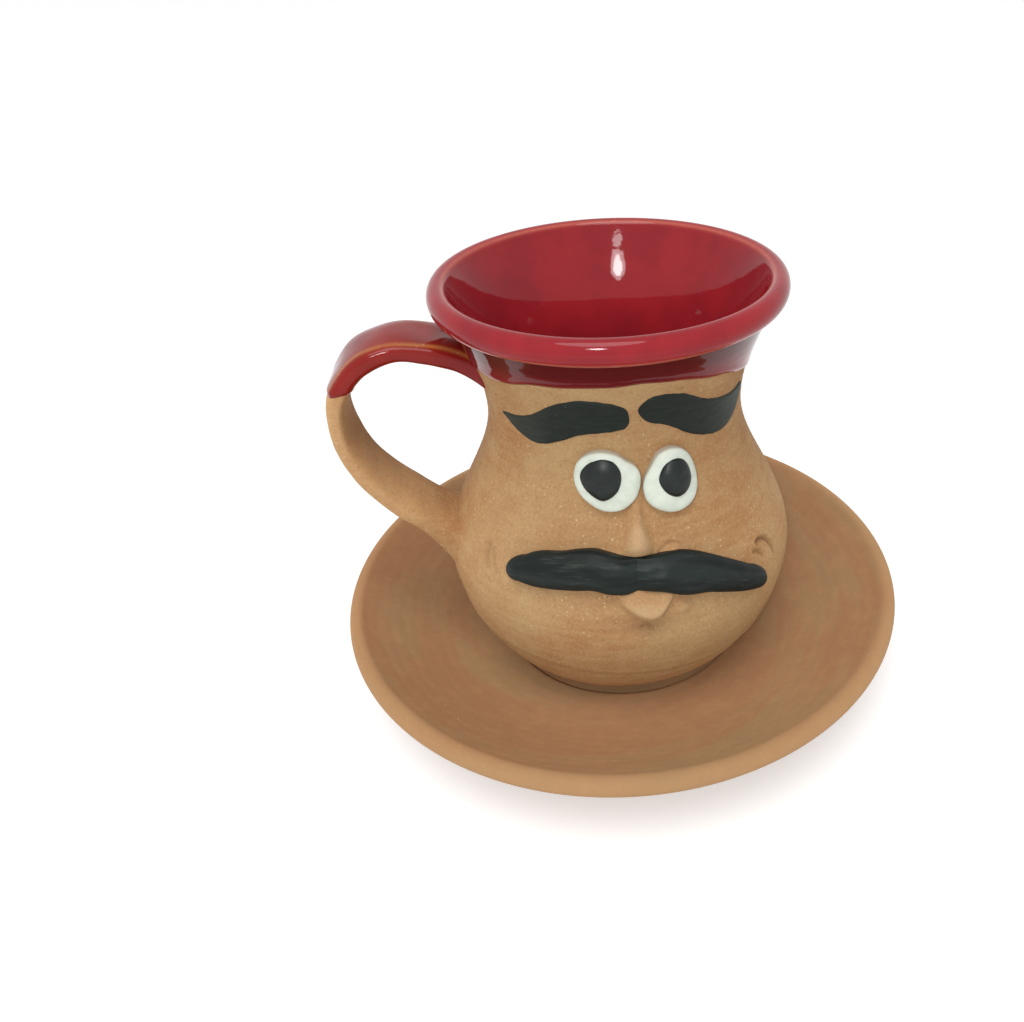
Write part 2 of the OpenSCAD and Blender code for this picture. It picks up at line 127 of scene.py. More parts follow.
class Kit:
    """Makes and links the nodes of one tree"""

    def __init__(self, tree):
        self.tree = tree

    def node(self, kind, settings=None, sockets=None, out=0):
        made = self.tree.nodes.new(kind)
        for name, value in (settings or {}).items():
            setattr(made, name, value)
        self.feed(made, sockets or {})
        return Wire(self, made.outputs[out]) if len(made.outputs) else made

    def feed(self, node, sockets):
        """Links a node's sockets to wires, or sets their values"""
        for key, value in sockets.items():
            if isinstance(value, Wire):
                self.tree.links.new(value.socket, node.inputs[key])
            else:
                node.inputs[key].default_value = value

    def maths(self, operation, *values):
        return self.node("ShaderNodeMath", {"operation": operation}, dict(enumerate(values)))

    def vector(self, operation, *values):
        return self.node("ShaderNodeVectorMath", {"operation": operation},
                         dict(enumerate(values)))

    def scaled(self, vector, share):
        return self.node("ShaderNodeVectorMath", {"operation": "SCALE"},
                         {0: vector, "Scale": share})

    def clamp(self, value):
        return self.node("ShaderNodeClamp", None, {0: value})

    def between(self, value, low, high):
        """0 below low, 1 above high and smooth between them"""
        return self.node("ShaderNodeMapRange", {"interpolation_type": "SMOOTHSTEP"},
                         {0: value, 1: low, 2: high, 3: 0.0, 4: 1.0})

    def tint(self, share, first, second):
        """Colour between first and second, each a wire or a tone of 0 to 255"""
        first, second = (colour if isinstance(colour, Wire) else linear(colour)
                         for colour in (first, second))
        return self.node("ShaderNodeMix", {"data_type": "RGBA", "blend_type": "MIX"},
                         {0: share, 6: first, 7: second}, out=2)

    def lay(self, colour, *layers):
        """Tones laid over a colour in turn, each with its share"""
        for share, over in layers:
            colour = self.tint(share, colour, over)
        return colour

    def cloud(self, place, size, detail=2.0, roughness=0.5, seed=0.0):
        """Noise whose blobs are about size millimetres across"""
        return self.node("ShaderNodeTexNoise", {"noise_dimensions": "4D"},
                         {"Vector": place, "W": seed, "Scale": 1 / (size * MM),
                          "Detail": detail, "Roughness": roughness})


def linear(tone):
    """Red, green and blue as they are seen, from 0 to 255, made linear"""
    shares = [level / 255 for level in tone]
    return (*(share / 12.92 if share < 0.04045 else ((share + 0.055) / 1.055) ** 2.4
              for share in shares), 1.0)


# Form that follows stations

def build_form_tree():
    """Geometry nodes that pull a skin over stations. Each station has a centre and two arms,
    and the skin goes round its centre on them. Faint turning grooves wind along the form."""
    tree = bpy.data.node_groups.new("form over stations", "GeometryNodeTree")
    face = tree.interface
    for name, kind in (("Stations", "Geometry"), ("Points round", "Int"),
                       ("Closeness in front", "Float"), ("Squareness", "Float"),
                       ("Groove depth", "Float"), ("Groove pitch", "Float"),
                       ("Unevenness", "Float"), ("Unevenness size", "Float"),
                       ("Seed", "Float"), ("Clay", "Material")):
        face.new_socket(name=name, in_out="INPUT", socket_type="NodeSocket" + kind)
    face.new_socket(name="Form", in_out="OUTPUT", socket_type="NodeSocketGeometry")
    kit = Kit(tree)
    given = kit.node("NodeGroupInput")
    stations = given.other("Stations")
    count = kit.node("GeometryNodeAttributeDomainSize", {"component": "MESH"},
                     {"Geometry": stations}, out="Point Count")
    grid = kit.node("GeometryNodeMeshGrid", None,
                    {"Size X": 1.0, "Size Y": 1.0,
                     "Vertices X": given.other("Points round") + 1, "Vertices Y": count},
                    out="Mesh")
    place = kit.node("ShaderNodeSeparateXYZ", None, {0: kit.node("GeometryNodeInputPosition")})
    turn = (place + 0.5) * (2 * math.pi)
    row = kit.maths("ROUND", (place.other("Y") + 0.5) * (count - 1))
    evened = kit.maths("SINE", turn) - kit.maths("SINE", turn * 2.0) * 0.16
    turn = turn - evened * given.other("Closeness in front")

    def stored(name, kind="FLOAT"):
        return kit.node("GeometryNodeInputNamedAttribute", {"data_type": kind}, {"Name": name},
                        out="Attribute")

    def at_station(name, kind="FLOAT"):
        return kit.node("GeometryNodeSampleIndex", {"data_type": kind, "domain": "POINT"},
                        {"Geometry": stations, "Value": stored(name, kind), "Index": row},
                        out="Value")

    def reach(wave):
        side = kit.maths(wave, turn)
        size = kit.maths("ABSOLUTE", side) ** given.other("Squareness")
        return kit.maths("SIGN", side) * size

    across = kit.scaled(at_station("across", "FLOAT_VECTOR"), reach("SINE"))
    aside = kit.scaled(at_station("aside", "FLOAT_VECTOR"), reach("COSINE"))
    spot = kit.vector("ADD", kit.vector("ADD", at_station("centre", "FLOAT_VECTOR"), across),
                      aside)
    skin = grid
    for name, value in (("run", at_station("run")), ("thin", at_station("thin")),
                        ("grooved", at_station("grooved")), ("turn", turn)):
        skin = kit.node("GeometryNodeStoreNamedAttribute",
                        {"data_type": "FLOAT", "domain": "POINT"},
                        {"Geometry": skin, "Name": name, "Value": value})
    skin = kit.node("GeometryNodeSetPosition", None, {"Geometry": skin, "Position": spot})
    skin = kit.node("GeometryNodeMergeByDistance", None, {"Geometry": skin, "Distance": 1e-6})

    here = kit.node("GeometryNodeInputPosition")
    apart = kit.node("ShaderNodeSeparateXYZ", None, {0: here})
    round_it = kit.maths("ARCTAN2", apart, apart.other("Y"))
    wind = stored("run") / given.other("Groove pitch") * (2 * math.pi) + round_it
    groove = (kit.maths("SINE", wind) - 1.0) * given.other("Groove depth") * stored("grooved")
    size = kit.maths("DIVIDE", 1.0, given.other("Unevenness size"))
    lumps = kit.node("ShaderNodeTexNoise", {"noise_dimensions": "4D"},
                     {"Vector": here, "W": given.other("Seed"), "Scale": size, "Detail": 1.0})
    lump = (lumps - 0.5) * given.other("Unevenness") * stored("grooved")
    push = kit.scaled(kit.node("GeometryNodeInputNormal"), groove + lump)
    skin = kit.node("GeometryNodeSetPosition", None, {"Geometry": skin, "Offset": push})
    skin = kit.node("GeometryNodeSetShadeSmooth", None, {"Geometry": skin})
    skin = kit.node("GeometryNodeRealizeInstances", None, {"Geometry": skin})
    skin = kit.node("GeometryNodeSetMaterial", None,
                    {"Geometry": skin, "Material": given.other("Clay")})
    kit.node("NodeGroupOutput", None, {"Form": skin})
    return tree


def bezier(a, b, c, d, steps):
    share = np.linspace(0, 1, steps + 1)[:, None]
    a, b, c, d = (np.array(point, float) for point in (a, b, c, d))
    rest = 1 - share
    return rest ** 3 * a + 3 * rest ** 2 * share * b + 3 * rest * share ** 2 * c + share ** 3 * d


def through(rows, steps, closed=False):
    """Smooth run through rows of numbers"""
    rows = np.array(rows, float)
    ends = (rows[-1:], rows[:2]) if closed else (rows[:1], rows[-1:])
    padded = np.vstack([ends[0], rows, ends[1]])
    run = []
    for a, b, c, d in zip(padded, padded[1:], padded[2:], padded[3:]):
        for t in np.arange(steps) / steps:
            run.append((2 * b + (c - a) * t + (2 * a - 5 * b + 4 * c - d) * t ** 2
                        + (3 * b - 3 * c + d - a) * t ** 3) / 2)
    return np.array(run if closed else run + [rows[-1]])


def read_off(places, known, rows):
    """Rows of numbers at places between the known ones"""
    return np.column_stack([np.interp(places, known, column) for column in rows.T])


def evenly(points, step):
    """The same run with points about step apart"""
    points = np.array(points, float)
    length = np.concatenate([[0], np.cumsum(np.linalg.norm(np.diff(points, axis=0), axis=1))])
    places = np.linspace(0, length[-1], max(2, int(round(length[-1] / step)) + 1))
    return read_off(places, length, points)


def bump(place, middle, wide, power=2):
    """1 at the middle and falling off smoothly to both sides"""
    return np.exp(-np.abs((place - middle) / wide) ** power)


def waves(*columns):
    """Smooth noise, about -1 to 1, at each row of the columns"""
    return np.array([noise.noise(Vector(row)) for row in np.broadcast(*columns)])


# Profiles

LIP_A = LIP_W / 2 - GLAZE_T
LIP_B = LIP_H / 2 - GLAZE_T
LIP_R = LIP_D / 2 - LIP_W / 2
LIP_Z = CUP_H - LIP_H / 2
LIP_FROM = -112
LIP_TO = 150


def lip_at(angle):
    angle = np.radians(angle)
    return np.array([LIP_R + LIP_A * np.cos(angle), LIP_Z + LIP_B * np.sin(angle)])


def cup_profiles():
    """Outer and inner clay profile, from the foot to the lip and from the lip to the floor"""
    start = lip_at(LIP_FROM)
    end = lip_at(LIP_TO)
    low = bezier([FOOT_R, 0], [FOOT_R + (BELLY_R - FOOT_R) * 0.37, BELLY_Z * 0.05],
                 [BELLY_R, BELLY_Z * 0.45], [BELLY_R, BELLY_Z], 60)
    middle = bezier([BELLY_R, BELLY_Z], [BELLY_R, BELLY_Z + (NECK_Z - BELLY_Z) * 0.33],
                    [NECK_R, NECK_Z - (NECK_Z - BELLY_Z) * 0.36], [NECK_R, NECK_Z], 60)
    top = bezier([NECK_R, NECK_Z], [NECK_R, NECK_Z + (start[1] - NECK_Z) * 0.45],
                 [start[0] - (start[0] - NECK_R) * 0.24, start[1] - (start[1] - NECK_Z) * 0.16],
                 start, 60)
    neck = np.array([NECK_R - WALL, NECK_Z])
    belly = np.array([BELLY_R - WALL, BELLY_Z + WALL / 4])
    foot = np.array([FOOT_R - WALL, FLOOR_T])
    inner = np.vstack([
        bezier(end, end - [2.6, 5.4], neck + [0, (end[1] - neck[1]) * 0.45], neck, 40),
        bezier(neck, neck - [0, (neck[1] - belly[1]) * 0.36],
               belly + [0, (neck[1] - belly[1]) * 0.33], belly, 40)[1:],
        bezier(belly, belly - [0, (belly[1] - foot[1]) * 0.55],
               foot + [(belly[0] - foot[0]) * 0.5, 0], foot, 40)[1:]])
    return np.vstack([low, middle[1:], top[1:]]), inner


OUTER, INNER = cup_profiles()


def skin_r(height):
    """Radius of the clay at a height above the foot"""
    return np.interp(height, OUTER[:, 1], OUTER[:, 0])


def skin_slope(height):
    return (skin_r(height + 0.8) - skin_r(height - 0.8)) / 1.6


def on_clay(turn, height, proud):
    """Places on the clay: turn in radians from the face's middle, and how far they stand proud.
    Heights are above the foot, and the result is in the object's frame."""
    slope = skin_slope(height)
    length = np.hypot(1, slope)
    radius = skin_r(height) + proud / length
    return np.stack([radius * np.sin(turn), -radius * np.cos(turn),
                     height - proud * slope / length + SAUCER_FLOOR], axis=-1)


def round_axis(places):
    """Turn from the face's middle, height above the foot and distance from the cup's axis"""
    x, y, z = places.T
    return np.arctan2(x, -y), z - SAUCER_FLOOR, np.hypot(x, y)


def off_clay(places):
    """How far places stand off the clay, and the direction away from it"""
    height, radius = round_axis(places)[1:]
    slope = skin_slope(height)
    length = np.hypot(1, slope)
    away = np.column_stack([places[:, :2] / radius[:, None], -slope]) / length[:, None]
    return (radius - skin_r(height)) / length, away


# Meshes

def put_in_scene(name, data):
    made = bpy.data.objects.new(name, data)
    bpy.context.scene.collection.objects.link(made)
    return made


def new_piece(name, mesh, body):
    piece = put_in_scene(name, mesh)
    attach(piece, body)
    return piece


def mesh_from(name, places, faces, material, attributes=None):
    """Smooth mesh from places in millimetres"""
    mesh = bpy.data.meshes.new(name)
    mesh.from_pydata((np.array(places) * MM).tolist(), [], faces)
    mesh.update()
    for key, values in (attributes or {}).items():
        set_values(mesh, key, values)
    mesh.polygons.foreach_set("use_smooth", [True] * len(mesh.polygons))
    mesh.materials.append(material)
    turn_outwards(mesh)
    return mesh


def turn_outwards(mesh):
    """Flips the faces when the volume inside them comes out negative"""
    co = coordinates(mesh)
    mesh.calc_loop_triangles()
    corners = np.zeros(len(mesh.loop_triangles) * 3, np.int32)
    mesh.loop_triangles.foreach_get("vertices", corners)
    a, b, c = (co[corners[k::3]] for k in range(3))
    if np.einsum("ij,ij->i", a, np.cross(b, c)).sum() < 0:
        mesh.flip_normals()


def coordinates(mesh):
    """Vertices in millimetres"""
    co = np.zeros(len(mesh.vertices) * 3)
    mesh.vertices.foreach_get("co", co)
    return co.reshape(-1, 3) / MM


def set_coordinates(mesh, places):
    mesh.vertices.foreach_set("co", (places * MM).ravel())
    mesh.update()


def normals(mesh):
    way = np.zeros(len(mesh.vertices) * 3)
    mesh.vertex_normals.foreach_get("vector", way)
    return way.reshape(-1, 3)


def values_of(mesh, name):
    values = np.zeros(len(mesh.vertices))
    mesh.attributes[name].data.foreach_get("value", values)
    return values


def set_values(mesh, name, values):
    """Stores a number or a vector for each vertex"""
    values = np.array(values, np.float32)
    kind, key = ("FLOAT", "value") if values.ndim == 1 else ("FLOAT_VECTOR", "vector")
    attribute = mesh.attributes.get(name) or mesh.attributes.new(name, kind, "POINT")
    attribute.data.foreach_set(key, values.ravel())


def form_over(name, centres, across, aside, material, thin=None, grooved=None, **sizes):
    """Mesh that Geometry Nodes pull over stations"""
    mesh = bpy.data.meshes.new(name + " stations")
    count = len(centres)
    mesh.from_pydata([(0, 0, k * MM) for k in range(count)],
                     [(k, k + 1) for k in range(count - 1)], [])
    path = centres + across
    run = np.concatenate([[0], np.cumsum(np.linalg.norm(np.diff(path, axis=0), axis=1))])
    for key, values in (("centre", centres * MM), ("across", across * MM), ("aside", aside * MM),
                        ("run", run * MM), ("thin", np.zeros(count) if thin is None else thin),
                        ("grooved", np.zeros(count) if grooved is None else grooved)):
        set_values(mesh, key, values)
    source = put_in_scene(name + " stations", mesh)
    modifier = source.modifiers.new("form", "NODES")
    modifier.node_group = FORM_TREE
    inputs = {item.name: item.identifier for item in FORM_TREE.interface.items_tree
              if item.in_out == "INPUT"}
    given = {"Points round": 96, "Closeness in front": 0.0, "Squareness": 1.0,
             "Groove depth": 0.0, "Groove pitch": 1.0 * MM, "Unevenness": 0.0,
             "Unevenness size": 20 * MM, "Seed": 1.0, "Clay": material}
    for key, value in sizes.items():
        given[key.replace("_", " ").capitalize()] = value
    for key, value in given.items():
        modifier[inputs[key]] = value
    bpy.context.view_layer.update()
    seen = bpy.context.evaluated_depsgraph_get()
    made = bpy.data.meshes.new_from_object(source.evaluated_get(seen))
    made.name = name
    source.modifiers.remove(modifier)
    bpy.data.objects.remove(source)
    turn_outwards(made)
    return made


def turned(name, points, material, **sizes):
    """Form turned on the wheel from a profile of (radius, height above the table)"""
    radius, height = points.T
    none = np.zeros(len(points))
    return form_over(name, np.column_stack([none, none, height]),
                     np.column_stack([radius, none, none]),
                     np.column_stack([none, -radius, none]), material, **sizes)


# Finishes

def new_finish(name):
    material = bpy.data.materials.new(name)
    material.use_nodes = True
    kit = Kit(material.node_tree)
    kit.surface = material.node_tree.nodes["Principled BSDF"]
    kit.place = kit.node("ShaderNodeTexCoord", out="Object")
    kit.material = material
    return kit


def finish(kit, colour, roughness, height, depth, **constants):
    """Feeds the surface. depth is in millimetres."""
    uneven = kit.node("ShaderNodeBump", None,
                      {"Strength": 1.0, "Distance": depth * MM, "Height": height})
    kit.feed(kit.surface, {"Base Color": colour, "Roughness": roughness, "Normal": uneven})
    kit.feed(kit.surface, {key.replace("_", " "): value for key, value in constants.items()})
    return kit.material


def stored_value(kit, name):
    return kit.node("ShaderNodeAttribute", {"attribute_name": name}, out="Fac")


def stretched(kit, x, y, z):
    return kit.node("ShaderNodeMapping", None, {"Vector": kit.place, "Scale": (x, y, z)})


def specks(kit, spacing, size, share, seed=0.0):
    """1 in scattered specks of size millimetres, in that share of cells of that spacing"""
    moved = kit.node("ShaderNodeMapping", None, {"Vector": kit.place, "Location": (seed, 0, 0)})
    cells = kit.node("ShaderNodeTexVoronoi", None,
                     {"Vector": moved, "Scale": 1 / (spacing * MM), "Randomness": 1.0})
    lot = kit.node("ShaderNodeSeparateColor", None, {0: cells.other("Color")})
    near = kit.between(cells, size / spacing, size / spacing * 0.5)
    return near * kit.between(lot, 1 - share - 0.01, 1 - share)


def bare_clay():
    """Unglazed fired clay with mica specks, fine grain and wiped bands"""
    kit = new_finish("cup clay")
    light = (202, 169, 122)
    drift = kit.cloud(kit.place, 30, 2, 0.5, 3)
    mottle = kit.cloud(kit.place, 4.5, 4, 0.62, 8)
    grain = kit.cloud(kit.place, 0.5, 3, 0.65, 5)
    bands = kit.cloud(stretched(kit, 0.12, 0.12, 1), 1.3, 3, 0.6, 12)
    worn = kit.between(kit.cloud(kit.place, 15, 3, 0.6, 21), 0.42, 0.6)
    mica = specks(kit, 0.8, 0.21, 0.34) * (worn * 0.8 + 0.2)
    dust = specks(kit, 0.5, 0.12, 0.22, 0.3)
    fleck = specks(kit, 1.9, 0.27, 0.13, 0.4)
    pits = specks(kit, 1.7, 0.2, 0.08, 0.9)
    shine = kit.clamp(mica * 0.55 + fleck * 0.5 + dust * 0.4) * 0.9
    colour = kit.lay(kit.tint(kit.between(drift, 0.36, 0.64), (189, 150, 105), (179, 131, 86)),
                     (kit.between(mottle, 0.36, 0.74) * 0.45, light),
                     (kit.between(bands, 0.42, 0.68) * 0.3, light),
                     # Paler where the handle's clay stands off the wall
                     (stored_value(kit, "paler_off_wall") * 0.5, (228, 184, 132)),
                     (kit.between(grain, 0.5, 0.72) * 0.3, (128, 86, 54)),
                     (kit.between(grain, 0.5, 0.3) * 0.25, (222, 186, 138)),
                     (shine, (240, 220, 164)), (pits * 0.5, (84, 52, 36)),
                     # Painted highlight on the crests of the nose and lower lip
                     (stored_value(kit, "painted_crest_highlight") * 0.5, (218, 188, 148)),
                     # Painted shade in the pressed marks and under the lower lip
                     (stored_value(kit, "painted_crease_shade") * 0.55, (104, 62, 38)))
    height = grain * 0.5 + bands * 0.5 + mottle * 0.6 + mica * 0.25 - pits * 0.8
    return finish(kit, colour, 0.82 - mottle * 0.12 - mica * 0.2, height, 0.09,
                  Specular_IOR_Level=0.22, Diffuse_Roughness=0.4)


def saucer_finish():
    """Smoother fired clay, with rings left by the wheel and by the kiln"""
    kit = new_finish("saucer clay")
    apart = kit.node("ShaderNodeSeparateXYZ", None, {0: kit.place})
    radius = kit.maths("SQRT", apart * apart + apart.other("Y") * apart.other("Y"))
    swirl = kit.node("ShaderNodeCombineXYZ", None, {0: radius, 1: 0.0, 2: 0.0})
    ringed = kit.vector("ADD", stretched(kit, 0.22, 0.22, 0), swirl)
    rings = kit.cloud(ringed, 6.5, 3, 0.55, 4)
    fine = kit.cloud(ringed, 1.2, 2, 0.5, 9)
    drift = kit.cloud(kit.place, 38, 2, 0.5, 6)
    mottle = kit.cloud(kit.place, 3.0, 4, 0.6, 8)
    grain = kit.cloud(kit.place, 0.5, 3, 0.65, 5)
    # Painted light: the clay turns paler toward the raised rim
    rim = kit.between(radius, (SAUCER_R - 3.5) * MM, (SAUCER_R - 1.1) * MM)
    shine = kit.clamp(specks(kit, 0.9, 0.12, 0.14) * 0.4 + specks(kit, 2.4, 0.2, 0.07, 0.4) * 0.5)
    colour = kit.tint(kit.between(drift, 0.36, 0.64), (177, 136, 98), (169, 134, 95))
    colour = kit.lay(colour, (kit.between(rings, 0.42, 0.6) * 0.6, (171, 121, 85)),
                     (kit.between(rings, 0.44, 0.3) * 0.5, (160, 129, 91)),
                     (kit.between(mottle, 0.4, 0.75) * 0.3, (196, 148, 104)),
                     (kit.between(grain, 0.52, 0.74) * 0.2, (118, 78, 50)),
                     (rim * 0.4, (204, 160, 112)), (shine, (226, 204, 152)))
    height = grain * 0.4 + fine * 0.5 + mottle * 0.4
    return finish(kit, colour, 0.78 - mottle * 0.1, height, 0.06, Specular_IOR_Level=0.22,
                  Diffuse_Roughness=0.4)


def crimson_glaze(name, deep, body, thin_tone, neck, sparkle):
    """Glossy glaze that turns lighter where it runs thin, and darker where it pools and where
    painted shade lies
    """
    kit = new_finish(name)
    thin = stored_value(kit, "thin")
    cloudy = kit.cloud(kit.place, 9, 3, 0.55, 4)
    fine = kit.cloud(kit.place, 1.1, 3, 0.6, 9)
    broken = kit.clamp(thin * (fine * 0.7 + 0.55) + (cloudy - 0.5) * thin * 0.6)
    pin = specks(kit, 3.1, 0.11, 0.1, 0.2)
    # Painted glints: bright specks where the glaze runs thin, as many as sparkle sets
    glint = specks(kit, 0.6, 0.11, 0.45, 0.1) * kit.between(thin, 0.25, 0.7) * sparkle
    colour = kit.lay(kit.tint(kit.between(cloudy, 0.35, 0.68), body, deep),
                     # The neck tone over glaze that pools and over painted shade
                     (stored_value(kit, "pooled_and_shaded"), neck), (broken, thin_tone),
                     (pin * 0.6, (60, 12, 14)),
                     (specks(kit, 1.3, 0.1, 0.07, 0.7) * 0.3, (214, 120, 110)),
                     (glint, (250, 214, 176)))
    skin = kit.cloud(kit.place, 3.4, 2, 0.5, 2)
    height = skin * 0.5 + fine * 0.05 - pin * 0.3
    return finish(kit, colour, thin * 0.06 + cloudy * 0.03 + 0.03, height, 0.05,
                  Specular_IOR_Level=0.22)


def black_slip():
    """Matt slip brushed on, greyer and thinner where the brush ran out"""
    kit = new_finish("black slip")
    thin = stored_value(kit, "thin")
    strokes = kit.cloud(stretched(kit, 0.3, 0.3, 1.4), 0.8, 3, 0.6, 6)
    grain = kit.cloud(kit.place, 0.4, 3, 0.6, 3)
    colour = kit.lay(kit.tint(kit.between(strokes, 0.35, 0.75) * 0.3, (36, 42, 39), (56, 62, 55)),
                     (kit.clamp(thin * (strokes * 0.6 + 0.4)), (82, 88, 78)),
                     (specks(kit, 1.5, 0.14, 0.14) * 0.35, (150, 128, 92)))
    return finish(kit, colour, 0.62 - strokes * 0.15, grain * 0.5 + strokes * 0.3, 0.05,
                  Specular_IOR_Level=0.14)


def black_clay():
    """Rolled black clay with long satin streaks and dust in its dents"""
    kit = new_finish("black clay")
    along = kit.node("ShaderNodeCombineXYZ", None,
                     {0: stored_value(kit, "along") * 0.13, 1: stored_value(kit, "across"),
                      2: 0.0})
    streaks = kit.cloud(along, 0.75, 4, 0.62, 2)
    broad = kit.cloud(along, 2.4, 2, 0.5, 7)
    grain = kit.cloud(kit.place, 0.35, 2, 0.5, 3)
    worn = kit.between(kit.cloud(kit.place, 6, 2, 0.5, 13), 0.5, 0.66)
    colour = kit.lay(kit.tint(kit.between(broad, 0.4, 0.66), (19, 25, 24), (34, 42, 39)),
                     (kit.between(streaks, 0.52, 0.74) * 0.55, (74, 80, 74)),
                     (specks(kit, 0.9, 0.14, 0.25) * worn * 0.55, (150, 152, 138)),
                     (stored_value(kit, "thin") * 0.35, (74, 52, 46)))
    rough = 0.4 + streaks * 0.28 - kit.between(broad, 0.5, 0.7) * 0.1
    return finish(kit, colour, rough, streaks * 0.8 + broad * 0.5 + grain * 0.15, 0.1,
                  Specular_IOR_Level=0.2)


def white_clay():
    kit = new_finish("white clay")
    cloudy = kit.cloud(kit.place, 3.2, 3, 0.6, 5)
    grain = kit.cloud(kit.place, 0.5, 3, 0.6, 3)
    # Darker round the eye's base: terracotta smudges there, and painted contact shade
    dust = kit.clamp(stored_value(kit, "thin") * 1.9 - cloudy * 0.35 - 0.75)
    colour = kit.lay(kit.tint(kit.between(cloudy, 0.35, 0.7), (234, 241, 227), (218, 227, 211)),
                     (dust * 0.5, (160, 122, 94)),
                     (specks(kit, 2.6, 0.16, 0.12) * 0.5, (168, 150, 120)))
    return finish(kit, colour, 0.42 + grain * 0.14, cloudy * 0.8 + grain * 0.2, 0.07,
                  Specular_IOR_Level=0.4, Subsurface_Weight=0.05, Subsurface_Scale=0.0006)


def black_glaze():
    kit = new_finish("black glaze")
    cloudy = kit.cloud(kit.place, 2.1, 3, 0.6, 5)
    grain = kit.cloud(kit.place, 0.4, 3, 0.6, 3)
    colour = kit.lay(kit.tint(kit.between(cloudy, 0.4, 0.7), (13, 21, 19), (26, 36, 33)),
                     (specks(kit, 1.2, 0.09, 0.12) * 0.4, (120, 124, 116)))
    return finish(kit, colour, 0.36 + grain * 0.08, cloudy * 0.5 + grain * 0.25, 0.04,
                  Specular_IOR_Level=0.36)


# Saucer

def saucer_profile():
    rim = SAUCER_R - RIM_T / 2
    rim_z = SAUCER_H - RIM_T / 2
    low, high = -38, 124

    def rim_at(angle):
        angle = np.radians(angle)
        return np.stack([rim + RIM_T / 2 * np.cos(angle), rim_z + RIM_T / 2 * np.sin(angle)], -1)

    first, last = rim_at(low), rim_at(high)
    foot_in = SAUCER_FOOT_R - SAUCER_FOOT_W
    dish_z = SAUCER_FLOOR + WELL_DEPTH
    well = WELL_R + WELL_DEPTH
    under = bezier([SAUCER_FOOT_R + SAUCER_FOOT_H, SAUCER_FOOT_H],
                   [SAUCER_FOOT_R + (first[0] - SAUCER_FOOT_R) * 0.3, SAUCER_FOOT_H],
                   first - [(first[0] - SAUCER_FOOT_R) * 0.26, first[1] * 0.36], first, 60)
    dish = bezier(last, last - [(last[0] - WELL_R) * 0.24, (last[1] - dish_z) * 0.42],
                  [well + (last[0] - WELL_R) * 0.38, dish_z], [well, dish_z], 60)
    return np.vstack([
        evenly([[0, SAUCER_FOOT_H], [foot_in - SAUCER_FOOT_H, SAUCER_FOOT_H]], 2.5),
        evenly([[foot_in - 0.6, 0.7], [foot_in, 0.06], [foot_in + 0.4, 0]], 0.3),
        evenly([[foot_in + 1, 0], [SAUCER_FOOT_R - 1, 0]], 1.5),
        evenly([[SAUCER_FOOT_R - 0.4, 0], [SAUCER_FOOT_R, 0.06], [SAUCER_FOOT_R + 0.6, 0.7]], 0.3),
        evenly(under, 0.7), rim_at(np.linspace(low, high, 42)[1:-1]), evenly(dish, 0.55),
        evenly([[well - 0.3, dish_z - 0.16], [WELL_R + 0.2, SAUCER_FLOOR + 0.1],
                [WELL_R - 0.2, SAUCER_FLOOR]], 0.3),
        evenly([[WELL_R - 1, SAUCER_FLOOR], [0, SAUCER_FLOOR]], 1.6)])


def make_saucer(clay):
    points = saucer_profile()
    radius, height = points.T
    top = (height > SAUCER_FLOOR + 0.3) & (radius < SAUCER_R - RIM_T / 2)
    sides = (height > 2) & (radius < SAUCER_R - 1)
    grooved = np.where(top | sides, 1.0, 0.0)
    mesh = turned("saucer", points, clay, grooved=grooved, points_round=288,
                  groove_depth=0.022 * MM, groove_pitch=2.6 * MM, unevenness=0.12 * MM,
                  unevenness_size=24 * MM, seed=4.0)
    piece = new_piece("saucer_form", mesh, "saucer")
    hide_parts("saucer")


# Cup body

# Marks pressed into the clay: depth, half width, and places as (degrees from the face, height)
MARKS = (
    (0.75, 0.4, ((43.2, 32.9), (45.6, 32.9), (48.4, 32.1), (50.4, 30.4), (50.7, 28.6))),
    (0.45, 0.36, ((40.7, 31.9), (42.8, 31.2), (44.6, 29.9))),
    (-0.2, 0.5, ((-56.5, 37.0), (-58.4, 35.2), (-58.4, 33.2), (-56.4, 31.2), (-54.0, 29.9))),
    (0.26, 0.45, ((-57.4, 35.2), (-57.0, 33.2), (-55.2, 31.4))),
    (0.22, 0.42, ((-55.2, 34.8), (-53.2, 33.0), (-51.4, 31.4))),
    (0.5, 0.38, ((4.8, 37.6), (6.6, 38.5), (9.4, 39.05), (12.0, 38.7), (13.4, 37.9))),
    (0.35, 0.35, ((-2.4, 26.0), (-0.9, 26.4), (0.6, 25.4))),
    (-0.14, 0.5, ((44.0, 19.6), (41.0, 17.3), (37.0, 15.9))),
)


# Radius of the wall that lengths round the face are measured on
MARK_R = 33.0


